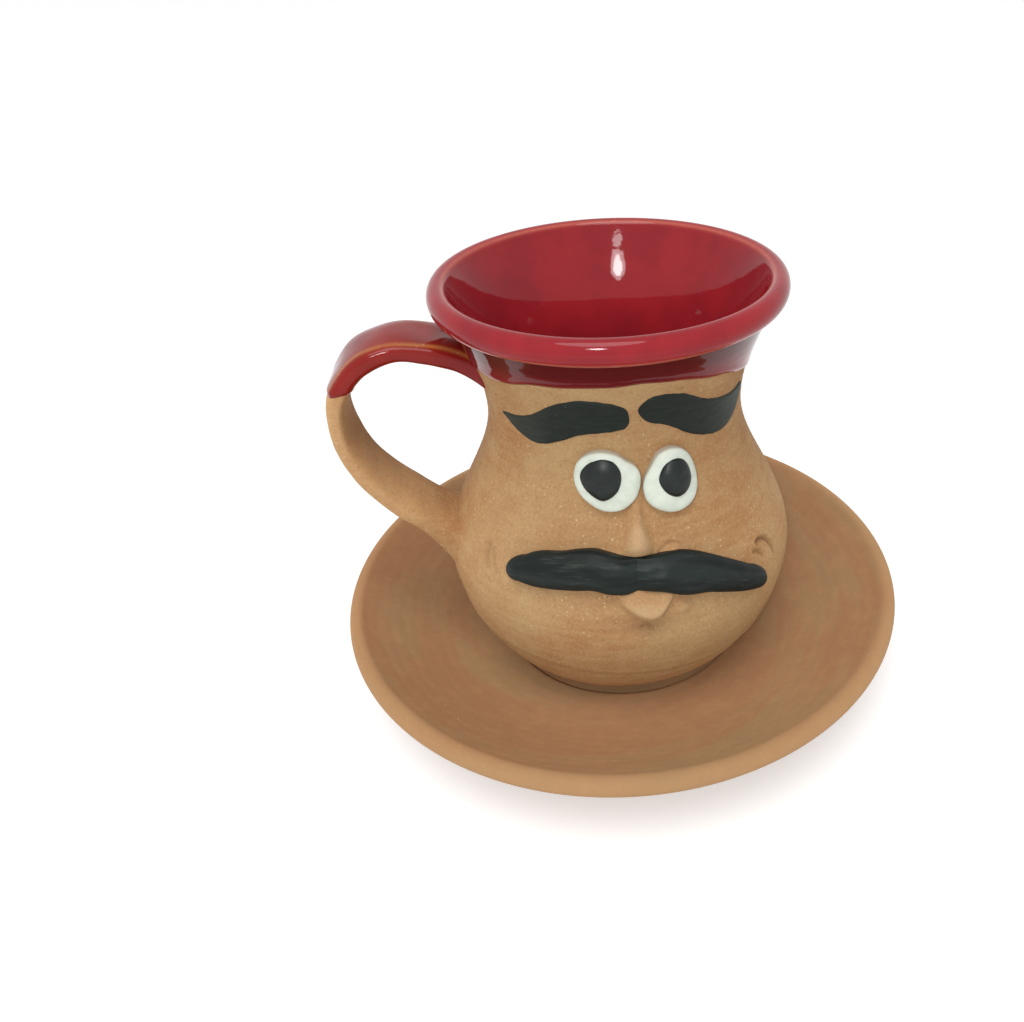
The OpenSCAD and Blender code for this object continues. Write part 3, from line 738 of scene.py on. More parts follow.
def sculpt(places):
    """How far the clay rises or sinks at places, and how much painted shade darkens them in the
    pressed marks and in the hollow under the lip
    """
    turn, height, radius = round_axis(places)
    rise, painted_crease_shade = np.zeros((2, len(places)))
    outside = np.abs(radius - skin_r(height)) < 0.6
    round_mm = turn * MARK_R
    for depth, wide, line in MARKS:
        run = through([(np.radians(angle) * MARK_R, z) for angle, z in line], 6)
        near = np.full(len(places), 1e9)
        for a, b in zip(run[:-1], run[1:]):
            way = b - a
            share = ((round_mm - a[0]) * way[0] + (height - a[1]) * way[1]) / (way @ way)
            share = np.clip(share, 0, 1)
            gap = np.hypot(round_mm - a[0] - share * way[0], height - a[1] - share * way[1])
            near = np.minimum(near, gap)
        rise += depth * (0.3 * bump(near, 2.1 * wide, wide) - bump(near, 0, wide))
        # Painted shade: the clay is darkened inside each pressed mark
        painted_crease_shade += max(depth, 0) / 0.6 * bump(near, 0, wide)
    under_lip = bump(round_mm, -0.6, 6.0) * bump(height, 26.0, 1.8)
    rise -= 0.6 * under_lip
    # Painted shade in the hollow under the lower lip
    painted_crease_shade += 0.35 * under_lip
    rise += 0.3 * bump(round_mm, 6.2, 2.6) * bump(height, 37.0, 1.2)
    ridge = 14.0 - 2.6 * np.sin(turn + 0.1)
    rise += 0.14 * bump(height, ridge, 0.55) - 0.12 * bump(height, ridge - 1.4, 0.8)
    return np.where(outside, rise, 0), np.where(outside, np.clip(painted_crease_shade, 0, 1), 0)


# Stretches of the wall: from one height to another, and the step between points there
WALL_STRETCHES = ((0, 22, 0.6), (22, 46, 0.36), (46, 58.8, 0.6), (58.8, CUP_H, 0.3))


def body_rows():
    """Profile from the foot's middle over the lip to the floor, with how thin the glaze runs and
    how deep the grooves are at each point of it"""
    ring = FOOT_R - FOOT_RING_W
    foot = np.vstack([
        evenly([[0, FOOT_HOLLOW], [ring - FOOT_HOLLOW, FOOT_HOLLOW]], 3),
        evenly([[ring - 0.3, 0.2], [ring + 0.3, 0], [FOOT_R - 0.5, 0]], 1.2)])
    height = OUTER[:, 1]
    wall = np.vstack([evenly(OUTER[(height >= low) & (height < high)], step)
                      for low, high, step in WALL_STRETCHES])[:-1]
    turns = np.linspace(LIP_FROM, LIP_TO, 34)
    inside = np.vstack([evenly(INNER, 2.1)[1:],
                        evenly([[FOOT_R - WALL - 1.5, FLOOR_T], [0, FLOOR_T]], 2.4)])
    thin = 0.8 * bump(turns, 120, 11) + 0.7 * bump(turns, -50, 13)
    height = wall[:, 1]
    fading = np.interp(height, (56, 62, lip_at(LIP_FROM)[1] - 0.5), (1, 0.4, 0.1))
    grooved = np.where(height > 2.5, fading, 0.0)
    return (np.vstack([foot, wall, lip_at(turns).T, inside]),
            np.pad(thin, (len(foot) + len(wall), len(inside))),
            np.pad(grooved, (len(foot), len(turns) + len(inside))))


def make_body(clay):
    points, thin, grooved = body_rows()
    mesh = turned("cup_body", points + [0, SAUCER_FLOOR], clay, thin=thin, grooved=grooved,
                  points_round=336, closeness_in_front=0.62, groove_depth=0.018 * MM,
                  groove_pitch=2.1 * MM, unevenness=0.3 * MM, unevenness_size=21 * MM, seed=7.0)
    places = coordinates(mesh)
    rise, painted_crease_shade = sculpt(places)
    set_coordinates(mesh, places + normals(mesh) * rise[:, None])
    set_values(mesh, "painted_crease_shade", painted_crease_shade)
    piece = new_piece("cup_form", mesh, "cup")
    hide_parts("cup_body")
    return mesh


# How far off the clay the survey looks from
PROBE = 4.0


class Survey:
    """How far the finished clay stands off its plain profile, measured over the face"""

    def __init__(self, body):
        faces = [tuple(face.vertices) for face in body.polygons]
        tree = BVHTree.FromPolygons([Vector(place) for place in coordinates(body)], faces)
        self.turns = np.radians(np.linspace(-82, 82, 411))
        self.heights = np.linspace(14, 68, 181)
        turn, height = np.meshgrid(self.turns, self.heights, indexing="ij")
        start = on_clay(turn, height, PROBE).reshape(-1, 3)
        way = on_clay(turn, height, 0).reshape(-1, 3) - start
        offsets = []
        for a, b in zip(start, way):
            gap = tree.ray_cast(Vector(a), Vector(b), 9.0)[3]
            offsets.append(0.0 if gap is None else PROBE - gap)
        self.offsets = np.array(offsets).reshape(turn.shape)

    def at(self, turn, height):
        across = np.interp(turn, self.turns, np.arange(len(self.turns)))
        up = np.interp(height, self.heights, np.arange(len(self.heights)))
        a = np.minimum(across.astype(int), len(self.turns) - 2)
        b = np.minimum(up.astype(int), len(self.heights) - 2)
        s, t = across - a, up - b
        low = self.offsets[a, b] * (1 - s) + self.offsets[a + 1, b] * s
        high = self.offsets[a, b + 1] * (1 - s) + self.offsets[a + 1, b + 1] * s
        return low * (1 - t) + high * t


# Glaze coats

# How far a coat reaches into the clay
COAT_ROOT = 0.2


def thickness_of_coat(inside):
    """Thickness that ends in a small rounded bead, inside millimetres from the coat's edge"""
    bead = np.clip(inside / 0.55, -0.4, 1)
    swell = 0.2 * bump(inside, 0.9, 0.5) * (inside > 0)
    return GLAZE_T * (bead + swell)


def coat(source, name, inside, kept, material):
    """Closed coat of glaze over the kept vertices of a mesh, inside millimetres from its edge"""
    places, way = coordinates(source), normals(source)
    faces = [tuple(face.vertices) for face in source.polygons]
    faces = [face for face in faces if all(kept[v] for v in face)]
    used = sorted({v for face in faces for v in face})
    index = {v: k for k, v in enumerate(used)}
    count = len(used)
    sides = {}
    for face in faces:
        for a, b in zip(face, face[1:] + face[:1]):
            sides[(a, b)] = True
    outer = [tuple(index[v] for v in face) for face in faces]
    inner = [tuple(index[v] + count for v in reversed(face)) for face in faces]
    walls = [(index[b], index[a], index[a] + count, index[b] + count)
             for a, b in sides if (b, a) not in sides]
    used = np.array(used)
    above = places[used] + way[used] * thickness_of_coat(inside[used])[:, None]
    below = places[used] - way[used] * COAT_ROOT
    mesh = mesh_from(name, np.vstack([above, below]), outer + inner + walls, material)
    for key in ("thin", "pooled_and_shaded"):
        values = values_of(source, key)[used] if source.attributes.get(key) else np.zeros(count)
        set_values(mesh, key, np.concatenate([values, values]))
    return mesh


# Height of the glaze border above the foot, by degrees round from the face
BORDER = ((-180, 66.2), (-150, 65.4), (-120, 66.6), (-95, 67.2), (-75, 65.4), (-54, 66.2),
          (-38, 67.7), (-26, 68.1), (-12, 68.7), (2, 68.9), (16, 68.2), (36, 66.3), (58, 62.9),
          (74, 62.6), (95, 64.6), (120, 66.4), (150, 65.6), (180, 66.2))


def make_cup_glaze(body, glaze):
    places = coordinates(body)
    turn, height, radius = round_axis(places)
    border = np.interp(np.degrees(turn), *np.array(BORDER).T)
    border += 0.12 * np.sin(turn * 9) + 0.05 * np.sin(turn * 19 + 1)
    under = lip_at(LIP_FROM)[1]
    outer = (radius > skin_r(height) - 1.0) & (height < under + 0.5)
    inside = np.where(outer, height - border, 9.0)
    # Darker on the neck under the lip: glaze pooling there, and painted shade under the lip's
    # overhang
    pooled_and_shaded = np.where(outer, np.clip(1.15 - np.abs(height - under + 2.2) / 6.0, 0, 1), 0)
    # Painted shade: the inside of the cup grows darker deeper down
    painted_inner_shade = np.where(radius < skin_r(height) - 1.0, np.clip((62 - height) / 60, 0, 0.8), 0)
    set_values(body, "pooled_and_shaded", np.maximum(pooled_and_shaded, painted_inner_shade))
    under_foot = height < FOOT_HOLLOW + 0.3
    kept = (inside > -1.6) & ~(outer & (height < 55)) & ~under_foot
    mesh = coat(body, "cup_glaze", inside, kept, glaze)
    piece = new_piece("glaze_form", mesh, "cup")
    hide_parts("cup_glaze")


# Handle

HANDLE_REACH = 49.2
HANDLE_TOP_Z = 68.2
HANDLE_LOW_Z = 23.5
HANDLE_TOP_W = 12.0
HANDLE_LOW_W = 14.5
HANDLE_T = 3.5
# Rows of shares: way out, way up, width between its two sizes, and thickness
HANDLE_PATH = (
    (-0.04, 0.87, 0.25, 1.1), (0.17, 0.95, 0.1, 1.02), (0.38, 0.99, 0, 1), (0.6, 1, 0.05, 1),
    (0.82, 0.945, 0.2, 1), (0.975, 0.815, 0.4, 1), (1, 0.66, 0.6, 1), (0.915, 0.5, 0.8, 1.03),
    (0.75, 0.355, 1, 1.08), (0.54, 0.232, 1, 1.25), (0.345, 0.11, 1.05, 2.1),
    (0.23, 0, 1, 3.1), (0.1, -0.1, 0.7, 2.9), (-0.08, -0.21, 0.3, 2.6))
GLAZED_SHARE = 0.36
# How much wider the strap grows where it meets the wall
ROOT_SPREAD = 0.12
# Share of the strap's length where its smeared tail begins
TAIL_SHARE = 0.75
# How far the strap's ends reach into the wall
DEEPEST = 0.5


def strap():
    """The strap from the neck to the belly: its centres, its arms and half its thickness"""
    rows = through(HANDLE_PATH, 20)
    out = NECK_R + rows[:, 0] * (HANDLE_REACH - NECK_R)
    up = HANDLE_LOW_Z + rows[:, 1] * (HANDLE_TOP_Z - HANDLE_LOW_Z) + SAUCER_FLOOR
    wide = (HANDLE_TOP_W + rows[:, 2] * (HANDLE_LOW_W - HANDLE_TOP_W)) / 2
    thick = rows[:, 3] * HANDLE_T / 2
    ends = np.concatenate([[0.02, 0.6], np.ones(len(rows) - 4), [0.6, 0.02]])
    wide, thick = wide * ends, thick * ends
    way = np.gradient(np.column_stack([out, up]), axis=0)
    way /= np.linalg.norm(way, axis=1)[:, None]
    none = np.zeros(len(rows))
    centres = np.column_stack([-out, none, up])
    across = np.column_stack([none, -wide, none])
    aside = np.column_stack([way[:, 1] * thick, none, way[:, 0] * thick])
    return centres, across, aside, thick


def settle(mesh, middle, on_tail):
    """Widens the strap at the wall, wavers its surface and smears its tail out on the belly"""
    places = coordinates(mesh)
    off = off_clay(places)[0]
    flare = 1 + ROOT_SPREAD * np.exp(-np.clip(off, 0, 9) / 1.3) * (off < 6)
    places = middle + (places - middle) * flare[:, None]
    uneven = waves(*(places / 6.5).T) * 0.28 + waves(*(places / 2.6 + 9).T) * 0.05
    places = places + normals(mesh) * uneven[:, None]
    off, away = off_clay(places)
    above_tail = np.clip((places[:, 2] - HANDLE_LOW_Z - SAUCER_FLOOR - 0.5) / 9, 0, 1)
    smeared = on_tail * np.clip(off - 0.12 - 12 * above_tail ** 2, 0, None)
    places -= away * smeared[:, None]
    off, away = off_clay(places)
    places += away * np.clip(-DEEPEST - off, 0, None)[:, None]
    set_coordinates(mesh, places)
    return places


def make_handle(clay, glaze):
    centres, across, aside, thick = strap()
    mesh = form_over("handle", centres, across, aside, clay, points_round=96, squareness=0.58)
    run = values_of(mesh, "run") / MM
    turn = values_of(mesh, "turn")
    full = run.max()
    rows = np.arange(len(centres))
    share = run / full * rows[-1]
    middle = read_off(share, rows, centres)
    places = settle(mesh, middle, run > full * TAIL_SHARE)
    # The handle's clay turns paler the farther it stands off the wall
    set_values(mesh, "paler_off_wall", np.clip((off_clay(places)[0] - 2) / 9, 0, 1))
    # Glaze runs thin on the strap's corners; their golden tone is partly a painted highlight
    corner = np.abs(np.sin(2 * turn)) ** 22
    set_values(mesh, "thin", corner * np.clip((run - 5) / 6, 0, 1))
    # Darker where the handle meets the neck under the lip: glaze pooling there, and painted shade
    set_values(mesh, "pooled_and_shaded", np.clip(1 - run / 7.0, 0, 1))
    facing = read_off(share, rows, aside / thick[:, None])
    spoke = places - middle
    turn = np.arctan2((spoke * facing).sum(axis=1), spoke[:, 1] * 0.4)
    border = full * GLAZED_SHARE + 1.3 * np.sin(turn + 0.6) + 0.35 * np.sin(3 * turn)
    inside = border - run
    skin = coat(mesh, "handle_glaze", inside, inside > -1.5, glaze)
    for name, made, node, slot in (("handle_form", mesh, "handle", "cup_clay"),
                                   ("handle_coat", skin, "handle_glaze", "crimson_glaze")):
        piece = new_piece(name, made, "cup")
        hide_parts(node)


# Pressed-on parts of the face

BROW_TOP = GLAZE_Z - 1.8
BROW_W = 20
SLIP_T = 0.33
# How far the middle of the face lies to the right
FACE_X = 0.8
EYE_DROP = 9.8
EYE_H = 10.9
EYE_T = 2.3
LEFT_EYE_W = 10.5
RIGHT_EYE_W = 9.5
EYE_GAP = 0.7
PUPIL_T = 1.25
NOSE_LOW = BROW_TOP - EYE_DROP - EYE_H + 3 - 9.2
TACHE_H = 6.6
TACHE_T = 3.2
TACHE_Z = NOSE_LOW - 0.2 - 0.46 * TACHE_H
MOUTH_Z = TACHE_Z - 0.46 * TACHE_H - 0.2 - 2.2


def round_by(length, height):
    return length / skin_r(height)


def put(middle, across, up, proud):
    """Places on the clay, across and up from a middle given as (turn, height)"""
    turn = middle[0] + across / skin_r(middle[1])
    up = middle[1] + up
    return on_clay(turn, up, proud + SURVEY.at(turn, up))


def grid_faces(rows, columns, closed):
    faces = []
    last = columns if closed else columns - 1
    for r in range(rows - 1):
        for c in range(last):
            d = (c + 1) % columns
            faces.append((r * columns + c, r * columns + d, (r + 1) * columns + d,
                          (r + 1) * columns + c))
    return faces


def tube_faces(rows, columns):
    """Faces of a tube along rows, closed at both ends"""
    first = tuple(range(columns))
    last = tuple((rows - 1) * columns + k for k in reversed(range(columns)))
    return grid_faces(rows, columns, True) + [first, last]


def dome(name, middle, outline, height, material, base=None, fullness=0.62, seed=1,
         unevenness=0.1, tuck=0.28):
    """Pellet pressed onto the clay: outline is points (across, up), height its thickness"""
    ring = through(outline, 10, closed=True)
    centre = ring.mean(axis=0)
    columns = len(ring)
    angles = np.radians(np.concatenate([np.linspace(4, 90, 26), np.linspace(98, 140, 7)]))
    places, thin = [], []
    for angle in angles:
        spread = math.sin(angle) if angle <= math.pi / 2 else 1 - 0.1 * (1 - math.sin(angle)) * 2
        flat = centre + (ring - centre) * spread
        low = tuck * height
        rise = math.cos(angle)
        proud = low + (height - low) * rise ** fullness if rise > 0 else low + low * rise * 2.6
        wave = waves(flat[:, 0] * 0.55 + seed, flat[:, 1] * 0.55, seed)
        wave *= unevenness * max(rise, 0.15)
        under = 0 if base is None else base(flat[:, 0], flat[:, 1])
        places.append(put(middle, flat[:, 0], flat[:, 1], proud + wave + under))
        thin.append(np.full(columns, np.clip(1.2 - rise * 3, 0, 1)))
    rows = len(angles)
    places = np.vstack(places)
    top = places[:columns].mean(axis=0)
    bottom = places[-columns:].mean(axis=0)
    faces = grid_faces(rows, columns, True)
    count = len(places)
    faces += [(count, (c + 1) % columns, c) for c in range(columns)]
    last = (rows - 1) * columns
    faces += [(count + 1, last + c, last + (c + 1) % columns) for c in range(columns)]
    thin = np.concatenate(thin + [[0, 1]])
    return mesh_from(name, np.vstack([places, top, bottom]), faces, material, {"thin": thin})


# How far a roll's rounded ends reach past its first and last row, and how rough it is
ROLL_ENDS = (0.4, 3.2)
ROLL_ROUGHNESS = 0.16


def band(name, middle, side, length, rows, size, height, material, seed):
    """Roll pressed onto the clay, from rows of shares: way out, lower edge, upper edge, height"""
    run = through(rows, 12)
    out = side * run[:, 0] * length
    low, high = run[:, 1] * size, run[:, 2] * size
    tall = run[:, 3] * height
    first = np.array([[out[0] - side * ROLL_ENDS[0] * math.sin(a), math.cos(a)]
                      for a in np.linspace(1.5, 0.2, 7)])
    last = np.array([[out[-1] + side * ROLL_ENDS[1] * math.sin(a), math.cos(a)]
                     for a in np.linspace(0.12, 1.52, 12)])
    across = np.concatenate([first[:, 0], out, last[:, 0]])
    squeeze = np.concatenate([first[:, 1], np.ones(len(out)), last[:, 1]])
    pad = (len(first), len(last))
    centre = np.pad((low + high) / 2, pad, mode="edge")
    # The far end goes on as the roll's last stretch falls
    fall = 0.8 * (centre[-13] - centre[-25]) / (across[-13] - across[-25])
    centre[-12:] += fall * (across[-12:] - out[-1])
    half = np.pad((high - low) / 2, pad, mode="edge") * squeeze
    tall = np.pad(tall, pad, mode="edge") * squeeze ** 0.6
    turn = middle[0] + across / skin_r(middle[1])
    seat = SURVEY.at(turn, middle[1] + centre)
    seat = np.convolve(np.pad(seat, 7, mode="edge"), np.ones(15) / 15, mode="valid")
    angles = np.radians(np.linspace(-140, 140, 49))
    places, thin = [], []
    for x, c, h, t, s, on in zip(across, centre, half, tall, squeeze, seat):
        low_t = 0.24 * t
        rise = np.cos(angles)
        proud = np.where(rise > 0, low_t + (t - low_t) * np.maximum(rise, 0) ** 0.7,
                         low_t + low_t * rise * 2.4)
        edge = np.where(np.abs(angles) <= math.pi / 2, np.sin(angles),
                        np.sign(angles) * (1 - 0.2 * (1 - np.abs(np.sin(angles)))))
        y = c + h * edge
        wave = waves(x * 0.16, y * 1.1, seed)
        fine = waves(x * 0.3, y * 3.2, seed + 5)
        lump = waves(x * 0.45, y * 0.5, seed + 9)
        uneven = wave * ROLL_ROUGHNESS + fine * 0.06 + lump * 0.2
        proud = proud + uneven * np.maximum(rise, 0.1) * s
        at = middle[0] + x / skin_r(middle[1])
        places.append(on_clay(at, middle[1] + y, proud + on))
        thin.append(np.clip(1 - rise * 3, 0, 1))
    along = np.repeat(across, len(angles)) * MM
    cross = np.tile(angles * 3, len(across)) * MM
    return mesh_from(name, np.vstack(places), tube_faces(len(across), len(angles)), material,
                     {"thin": np.concatenate(thin), "along": along, "across": cross})


LEFT_BROW = ((0.02, 0.6), (0.05, 0.44), (0.16, 0.375), (0.4, 0.3), (0.53, 0.165), (0.69, 0.02),
             (0.785, 0), (0.88, 0.09), (0.95, 0.23), (1, 0.35), (0.89, 0.42), (0.78, 0.54),
             (0.62, 0.82), (0.5, 0.94), (0.38, 0.99), (0.2, 0.95), (0.055, 0.82))
RIGHT_BROW = ((0, 0.78), (0.05, 0.62), (0.12, 0.54), (0.22, 0.48), (0.32, 0.37), (0.42, 0.24),
              (0.52, 0.14), (0.615, 0.065), (0.75, 0), (0.86, 0.02), (0.95, 0.15), (0.99, 0.34),
              (1, 0.54), (0.9, 0.53), (0.79, 0.57), (0.68, 0.63), (0.57, 0.725), (0.47, 0.84),
              (0.375, 0.94), (0.235, 1), (0.12, 1), (0.04, 0.915))


def make_brow(name, side, height, shares, material):
    """Flat painted slip with a soft edge, straight across as seen from the front"""
    ring = through(shares, 8, closed=True)
    left, right = ring[:, 0].argmin(), ring[:, 0].argmax()
    ordered = np.roll(ring, -left, axis=0)
    cut = (right - left) % len(ring)
    lower, upper = ordered[:cut + 1], np.vstack([ordered[cut:], ordered[:1]])[::-1]
    share = (1 - np.cos(np.linspace(0.02, np.pi - 0.02, 110))) / 2
    x = ring[left, 0] + share * (ring[right, 0] - ring[left, 0])
    low = np.interp(x, lower[:, 0], lower[:, 1]) * height
    high = np.interp(x, upper[:, 0], upper[:, 1]) * height
    flat_x = side * (0.5 + x * BROW_W)
    angles = np.radians(np.linspace(-125, 125, 41))
    places, thin = [], []
    for fx, a, b, along in zip(flat_x, low, high, x):
        half = (b - a) / 2
        rise = np.cos(angles)
        edge = np.clip(np.sin(angles) / math.sin(math.radians(72)), -1, 1)
        wobble = noise.noise(Vector((fx * 0.9, a * 0.2, 3.0))) * 0.1
        up = BROW_TOP - height + (a + b) / 2 + edge * (half + wobble)
        dist = np.minimum(half * (1 - np.abs(edge)), 1.0)
        body = SLIP_T * np.clip(dist / 0.35, 0, 1) ** 0.5 * (0.75 + 0.25 * min(half, 1))
        proud = np.where(rise > 0.3, body, -0.25)
        turn = np.arcsin(np.clip(fx / skin_r(up), -0.999, 0.999))
        places.append(on_clay(turn, up, proud + SURVEY.at(turn, up)))
        dry = np.clip((along - 0.62) / 0.5, 0, 1)
        thin.append(dry * 0.9 + 0.25 * (rise < 0.45))
    mesh = mesh_from(name, np.vstack(places), tube_faces(len(x), len(angles)), material,
                     {"thin": np.concatenate(thin)})
    piece = new_piece(name + "_form", mesh, "cup")
    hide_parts(name)


def finished(name, mesh):
    piece = new_piece(name + "_form", mesh, "cup")
    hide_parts(name)


LEFT_EYE = ((-5.4, 1.2), (-4.7, 3.3), (-2.9, 4.9), (-0.6, 5.4), (1.6, 4.8), (3.2, 3.5),
            (4.5, 2.5), (5.3, 1.0), (5.3, -1.0), (4.4, -3.4), (2.2, -5.2), (-0.6, -5.3),
            (-2.9, -4.1), (-4.5, -2.5), (-5.3, -0.7))
RIGHT_EYE = ((-5.1, -1.0), (-4.7, 1.0), (-3.6, 2.9), (-2.3, 5.0), (-0.3, 5.8), (1.9, 5.2),
             (3.5, 3.2), (4.3, 0.2), (4.0, -2.9), (2.4, -5.0), (-0.2, -5.7), (-2.8, -4.9),
             (-4.6, -3.2))
LEFT_PUPIL = ((-3.2, 0.1), (-2.7, 1.9), (-1.4, 3.2), (0.3, 3.85), (2.0, 3.3), (3.0, 1.7),
              (3.15, -0.2), (2.6, -2.2), (1.5, -3.5), (0.2, -4.0), (-1.2, -3.2), (-2.5, -1.8))
RIGHT_PUPIL = ((-2.65, 0.3), (-2.0, 2.1), (-0.9, 3.35), (0.8, 3.45), (2.0, 2.5), (2.6, 0.4),
               (2.4, -1.6), (1.4, -3.1), (0.0, -3.6), (-1.4, -2.8), (-2.35, -1.3))


def make_eyes(white, black):
    left_z = BROW_TOP - EYE_DROP - EYE_H / 2
    right_z = left_z - 1.1
    left = (round_by(FACE_X - (EYE_GAP + LEFT_EYE_W) / 2, left_z), left_z)
    right = (round_by(FACE_X + (EYE_GAP + RIGHT_EYE_W) / 2, right_z), right_z)
    for name, middle, wide, outline, pupil, shift in (
            ("left", left, LEFT_EYE_W, LEFT_EYE, LEFT_PUPIL, (-0.945, 0.65)),
            ("right", right, RIGHT_EYE_W, RIGHT_EYE, RIGHT_PUPIL, (0.0, 0.49))):
        seed = len(name)
        mesh = dome(name + "_eye_white", middle, outline, EYE_T, white, seed=seed,
                    unevenness=0.22)
        finished(name + "_eye_white", mesh)

        def base(across, up, wide=wide, shift=shift):
            inside = 1 - (2 * (across + shift[0]) / wide) ** 2 - (2 * (up + shift[1]) / EYE_H) ** 2
            return EYE_T * np.clip(inside, 0.02, 1) ** 0.31 - 0.12
        on_eye = (middle[0] + shift[0] / skin_r(middle[1]), middle[1] + shift[1])
        mesh = dome(name + "_pupil", on_eye, pupil, PUPIL_T, black, base=base, seed=seed + 3,
                    unevenness=0.08, fullness=0.95, tuck=0.2)
        finished(name + "_pupil", mesh)


RELIEF_STEP = 0.22


def relief(name, middle, wide, low, high, rise, material):
    """Patch of the cup's own clay that swells out of the wall: rise gives its height"""
    across = np.arange(-wide, wide + RELIEF_STEP, RELIEF_STEP)
    up = np.arange(low, high + RELIEF_STEP, RELIEF_STEP)
    x, y = np.meshgrid(across, up)
    x, y = x.ravel(), y.ravel()
    proud = rise(x, y)
    top = put(middle, x, y, proud)
    under = put(middle, x, y, -0.6)
    rows, columns = len(up), len(across)
    count = len(x)
    faces = grid_faces(rows, columns, False)
    under_faces = [tuple(v + count for v in reversed(face)) for face in faces]
    rim = list(range(columns))
    rim += [r * columns + columns - 1 for r in range(1, rows)]
    rim += [(rows - 1) * columns + c for c in range(columns - 2, -1, -1)]
    rim += [r * columns for r in range(rows - 2, 0, -1)]
    walls = [(b, a, a + count, b + count) for a, b in zip(rim, rim[1:] + rim[:1])]
    # Painted highlight: the clay turns paler towards the crest of the patch
    mesh = mesh_from(name, np.vstack([top, under]), faces + under_faces + walls, material,
                     {"painted_crest_highlight": np.append(np.clip(proud / 3.3, 0, 1) ** 2, np.zeros(count))})
    finished(name, mesh)


def make_nose(clay):
    def rise(x, y):
        ridge = np.interp(y, (-2.0, -1.2, -0.4, 0.5, 1.5, 2.6, 3.8, 5.2, 6.9, 9.4, 11.5),
                          (0, 0.6, 2.4, 3.9, 4.4, 4.1, 3.1, 1.8, 1.1, 0.45, 0))
        half = np.interp(y, (-1.2, 0.1, 2.4, 4.4, 6.9, 10), (2.7, 2.35, 1.75, 1.3, 1.0, 0.9))
        middle = np.interp(y, (0, 5, 9), (-1.7, -1.6, -1.1))
        body = ridge * bump(x, middle, half, 2.3)
        left = 0.45 * bump(x, -5.3, 1.3) * bump(y, -0.8, 1.2)
        right = bump(x, 3.9, 1.7) * bump(y, -1.3, 1.0)
        edge = np.clip((7.6 - np.abs(x)) / 1.5, 0, 1) * np.clip((12.3 - y) / 2, 0, 1)
        return (body + left + right) * edge - 0.05
    relief("nose", (round_by(FACE_X, NOSE_LOW), NOSE_LOW), 7.6, -2.2, 12.4, rise, clay)


# Lower edge of the lip: across, and height above the mouth's middle
LIP_EDGE = ((-7.2, 3.5), (-5.7, 1.3), (-4.0, -0.8), (-2.2, -2.0), (-0.5, -2.7), (0.7, -2.8),
            (1.9, -2.4), (3.2, -1.2), (4.6, 0.4), (6.2, 3.2))


def make_lip(clay):
    border = through(LIP_EDGE, 8)

    def rise(x, y):
        depth = y - np.interp(x, border[:, 0], border[:, 1])
        swell = 3.4 * bump(x, -0.2, 4.9, 2.6)
        share = np.clip((depth + 0.6) / 2.5, 0, 1)
        front = share ** 2 * (3 - 2 * share) * np.clip(1.15 - depth / 6.5, 0, 1)
        left = 0.5 * bump(x, -6.6, 1.2) * bump(y, -1.1, 1.4)
        right = 0.7 * bump(x, 6.0, 1.4) * bump(y, -1.6, 1.3)
        edge = np.clip((9.6 - np.abs(x)) / 1.4, 0, 1)
        return (swell * front + left + right) * edge - 0.05
    relief("lower_lip", (0, MOUTH_Z), 9.6, -5.8, 3.6, rise, clay)


LEFT_TACHE = ((0, -0.43, 0.4, 0.66), (0.08, -0.5, 0.41, 0.86), (0.2, -0.475, 0.5, 1),
              (0.31, -0.4, 0.575, 1), (0.44, -0.43, 0.535, 0.98), (0.57, -0.47, 0.44, 0.95),
              (0.72, -0.52, 0.36, 0.9), (0.81, -0.53, 0.26, 0.86), (0.87, -0.52, 0.14, 0.83))
RIGHT_TACHE = ((0, -0.43, 0.4, 0.66), (0.08, -0.47, 0.37, 0.86), (0.18, -0.545, 0.37, 1),
               (0.28, -0.68, 0.37, 1), (0.37, -0.76, 0.33, 1), (0.48, -0.83, 0.2, 0.98),
               (0.6, -0.99, -0.02, 0.94), (0.71, -1.16, -0.26, 0.9), (0.81, -1.31, -0.5, 0.86),
               (0.88, -1.4, -0.69, 0.84))


def make_tache(clay):
    middle = (round_by(-1.6, TACHE_Z), TACHE_Z)
    for name, side, length, rows, seed in (("left_moustache", -1, 22.5, LEFT_TACHE, 2.0),
                                           ("right_moustache", 1, 23.1, RIGHT_TACHE, 11.0)):
        mesh = band(name, middle, side, length, rows, TACHE_H, TACHE_T, clay, seed)
        finished(name, mesh)


# Studio

AMBIENT = 0.3
SUN = 1.45
SUN_FROM = (-0.12, -0.3, 1.0)
# Name, place, size and power of each lamp
LAMPS = (("ceiling lamp", (-0.136, -0.46, 0.4), (0.12, 0.13), 0.55),
         ("bulb", (-0.1335, -0.4515, 0.3935), (0.07, 0.09), 0.52))


def add_lamp(name, kind, power, comes_from, place=(0, 0, 0)):
    data = bpy.data.lights.new(name, kind)
    data.energy = power
    lamp = put_in_scene(name, data)
    lamp.location = place
    lamp.rotation_mode = "QUATERNION"
    lamp.rotation_quaternion = Vector(comes_from).to_track_quat("Z", "Y")
    return data


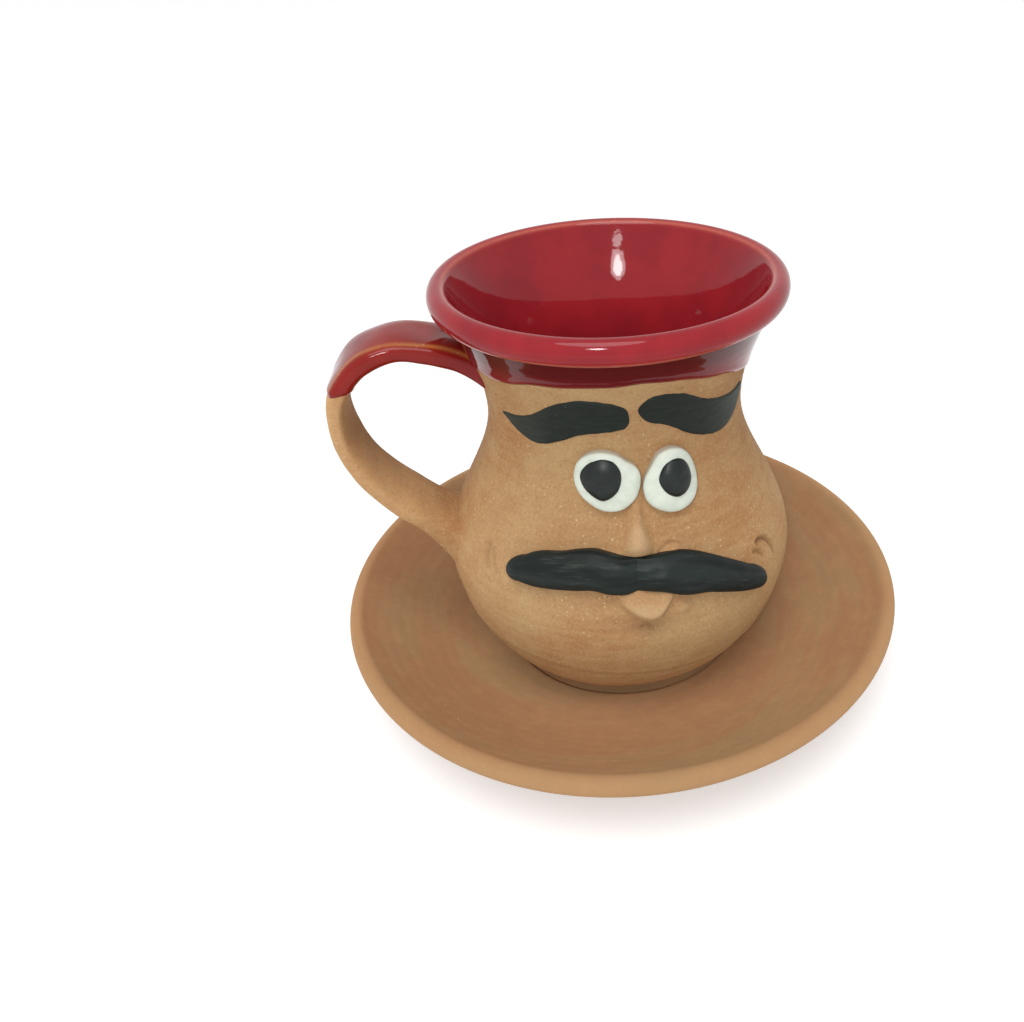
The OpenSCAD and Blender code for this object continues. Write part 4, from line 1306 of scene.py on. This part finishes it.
def make_studio():
    world = bpy.data.worlds.new("studio")
    bpy.context.scene.world = world
    world.use_nodes = True
    kit = Kit(world.node_tree)
    ray = kit.node("ShaderNodeLightPath")
    shown = kit.maths("MAXIMUM", kit.maths("MAXIMUM", ray.other("Is Camera Ray"),
                                           ray.other("Is Glossy Ray")),
                      ray.other("Is Transmission Ray"))
    kit.feed(world.node_tree.nodes["Background"],
             {"Color": (1, 1, 1, 1), "Strength": shown * (1.0 - AMBIENT) + AMBIENT})

    mesh = bpy.data.meshes.new("floor")
    mesh.from_pydata([(-4, -4, 0), (4, -4, 0), (4, 4, 0), (-4, 4, 0)], [], [(0, 1, 2, 3)])
    floor = put_in_scene("floor", mesh)
    kit = new_finish("floor")
    ray = kit.node("ShaderNodeLightPath")
    glow = kit.maths("MAXIMUM", ray.other("Is Camera Ray"), ray.other("Is Glossy Ray")) * 0.36
    kit.feed(kit.surface, {"Base Color": (0.86, 0.86, 0.86, 1), "Roughness": 0.9,
                           "Specular IOR Level": 0.0, "Emission Color": (1, 1, 1, 1),
                           "Emission Strength": glow})
    mesh.materials.append(kit.material)

    sun = add_lamp("sun", "SUN", SUN, SUN_FROM)
    sun.angle = math.radians(36)
    for name, place, size, power in LAMPS:
        lamp = add_lamp(name, "AREA", power, Vector(place) - Vector((0, 0, 0.05)), place)
        lamp.shape = "ELLIPSE"
        lamp.size, lamp.size_y = size


FORM_TREE = build_form_tree()
place_camera()
cup_clay = bare_clay()
# neck is the dark of pooled glaze and of painted shade under the lip and deep inside
red = crimson_glaze("crimson glaze", deep=(152, 34, 43), body=(168, 38, 46),
                    thin_tone=(210, 112, 94), neck=(96, 24, 29), sparkle=0.0)
# The handle's thin tone is partly a painted highlight along the strap's corners
red_handle = crimson_glaze("red glaze", deep=(132, 26, 24), body=(150, 34, 26),
                           thin_tone=(186, 112, 62), neck=(48, 12, 12), sparkle=0.9)
make_saucer(saucer_finish())
body = make_body(cup_clay)
SURVEY = Survey(body)
make_cup_glaze(body, red)
make_handle(cup_clay, red_handle)
slip = black_slip()
make_brow("left_eyebrow", -1, 10.4, LEFT_BROW, slip)
make_brow("right_eyebrow", 1, 12.0, RIGHT_BROW, slip)
make_eyes(white_clay(), black_glaze())
make_nose(cup_clay)
make_tache(black_clay())
make_lip(cup_clay)
make_studio()
